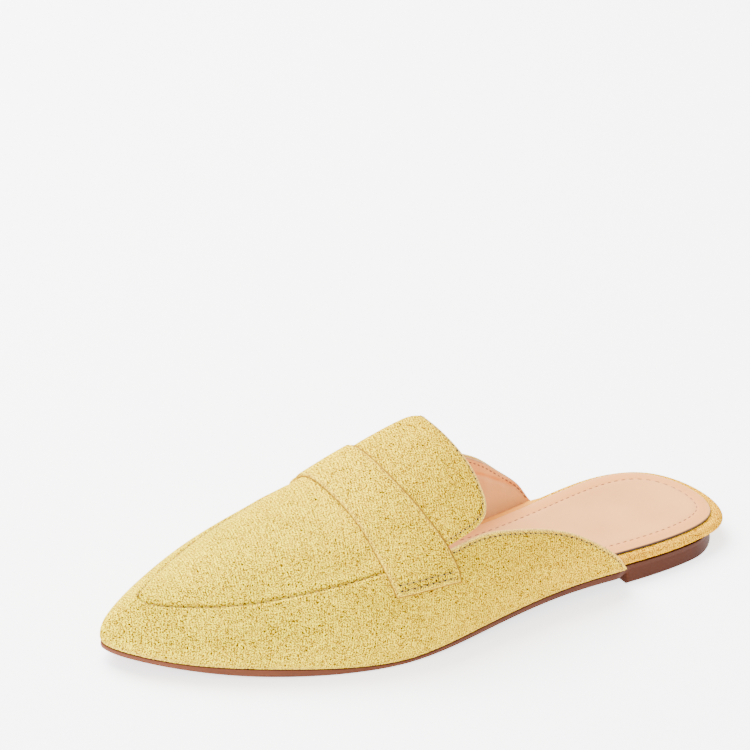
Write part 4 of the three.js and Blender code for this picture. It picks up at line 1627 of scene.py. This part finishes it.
@dataclass
class Studio:
    """Pale floor, soft light and the camera at the photograph's angle."""

    target: tuple[float, float, float] = (-42.345, 2.139, 62.419)
    azimuth: float = 49.562
    elevation: float = 25.158
    roll: float = 7.762
    distance: float = 1765.35
    lens: float = 248.416

    def camera(self) -> None:
        """Adds the camera."""
        a, e, r = (math.radians(v) for v in (self.azimuth, self.elevation, self.roll))
        back = Vector((math.sin(a) * math.cos(e), -math.cos(a) * math.cos(e), math.sin(e)))
        right = Vector((math.cos(a), math.sin(a), 0))
        up = back.cross(right)
        x = right * math.cos(r) + up * math.sin(r)
        y = -right * math.sin(r) + up * math.cos(r)
        made = bpy.data.objects.new("camera", bpy.data.cameras.new("camera"))
        made.data.lens, made.data.sensor_width = self.lens, 36.0
        made.data.clip_start, made.data.clip_end = 0.05, 20.0
        made.matrix_world = Matrix((x, y, back)).transposed().to_4x4()
        made.matrix_world.translation = (Vector(self.target) + back * self.distance) * MM
        bpy.context.scene.collection.objects.link(made)
        bpy.context.scene.camera = made

    def floor(self) -> None:
        """Adds the pale floor."""
        select()
        bpy.ops.mesh.primitive_plane_add(size=12.0, location=(0, 0, 0))
        ground = bpy.context.object
        ground.name = "studio_floor"
        made, shader, _, _ = new_material("pale_paper_floor")
        set_node(shader, {"Base Color": "#f4f4f4", "Roughness": 0.9, "Emission Color": "#ffffff",
                          "Emission Strength": 2.2})
        ground.data.materials.append(made)

    def lights(self) -> None:
        """Adds a large soft light from behind and above, a fill by the camera and a bright room."""
        for name, spot, size, power in (
            ("key", (-0.9, -0.25, 1.35), 1.3, 140.0),
            ("fill", (0.75, -1.7, 1.0), 1.4, 30.0),
            ("front", (0.1, -1.5, 0.8), 1.0, 8.0),
        ):
            lamp = bpy.data.lights.new(name, "AREA")
            lamp.energy, lamp.size = power, size
            made = bpy.data.objects.new(name, lamp)
            made.location = spot
            made.rotation_euler = (Vector((0, 0, 0.02)) - Vector(spot)).to_track_quat("-Z", "Y").to_euler()
            bpy.context.scene.collection.objects.link(made)
        world = bpy.data.worlds.new("bright_room")
        world.use_nodes = True
        sky = next(n for n in world.node_tree.nodes if n.type == "BACKGROUND")
        set_node(sky, {"Color": "#ffffff", "Strength": 1.45})
        bpy.context.scene.world = world


def main() -> None:
    """Builds the shoe's pieces in order, then the studio."""
    logging.basicConfig(level=logging.INFO, format="%(message)s")
    last = Last()
    suede = Microsuede("brushed_microsuede", "#f0bc00", "#2c1600", "#fff000", "#f2c880").make()
    # dark suede colour of the painted contact shadow under the strap's edges
    shadow_suede = Microsuede("painted_contact_shadow", "#94701a", "#6e5010", "#a88024", "#94701a", sheen=0.0).make()
    # its fold colour is the painted shade of the footbed inside the shoe
    rim = Microsuede("rim_microsuede", "#e6a80c", "#7a4c04", "#ffd824", "#d88e3a",
                     fold_share=1.0, sheen=0.2).make()
    lining = SmoothLeather("lining_leather", "#f8b668", "#eca658", 0.5, 0.6, 0.12, 0.3).make()
    # the insole's near-black cut edge is partly painted shade, and its band colour is painted reflected light
    sock = SmoothLeather("insole_leather", "#d69352", "#d08b4a", 0.42, 0.45, 0.08, 0.06, "#2e150c").make()
    rubber = MouldedRubber("moulded_rubber", "#683c2a", "#431d0b").make()
    thread = SewingThread("polyester_thread", "#b08a14").make()
    # near-black painted shade in the needle holes
    pit = SewingThread("needle_hole", "#1e1402", 0.9).make()
    brown_thread = SewingThread("insole_thread", "#8c5238").make()

    upper = Upper(last)
    hand_over(upper.suede_shell(), Slot.SUEDE, suede, "upper")
    hand_over(upper.lining_shell(), Slot.INSOLE, lining)

    tongue = Tongue(last)
    hand_over(tongue.build("tongue_suede", -tongue.suede, 0.0, 0.0), Slot.SUEDE, suede, "tongue")
    hand_over(tongue.build("tongue_lining", -tongue.thickness, -tongue.suede + 0.1, 0.5), Slot.INSOLE, lining)

    strap = SaddleStrap(last)
    hand_over(strap.build(), Slot.SUEDE, suede, "strap")
    hand_over(strap.contact_shadow_strip(), Slot.SUEDE, shadow_suede)

    bottom = Bottom(last)
    hand_over(bottom.footbed_wrap(), Slot.SUEDE, rim, "footbed")
    hand_over(bottom.insole_sock(), Slot.INSOLE, sock, "insole")
    hand_over(bottom.sole_unit(), Slot.SOLE, rubber, "outsole")

    seams, tops, insides = upper.rows()
    sewn = [*seams, *tops, tongue.edge_row(), *strap.end_rows()]
    fine = Thread()
    hand_over(fine.sew("stitches", sewn, 0.5, False), Slot.SUEDE, thread)
    hand_over(fine.sew("needle_holes", sewn[2:], 0.0, True), Slot.SUEDE, pit)
    hand_over(Thread(hole=0.27).sew("seam_holes", seams, 0.0, True), Slot.SUEDE, pit)
    hand_over(fine.sew("lining_stitches", insides, 0.5, False), Slot.INSOLE, brown_thread)
    flat = Thread(length=2.1, radius=0.2)
    hand_over(flat.sew("insole_stitches", [bottom.insole_row()], 0.5, False), Slot.INSOLE, brown_thread)

    studio = Studio()
    studio.floor()
    studio.lights()
    studio.camera()


if __name__ == "__main__":
    main()
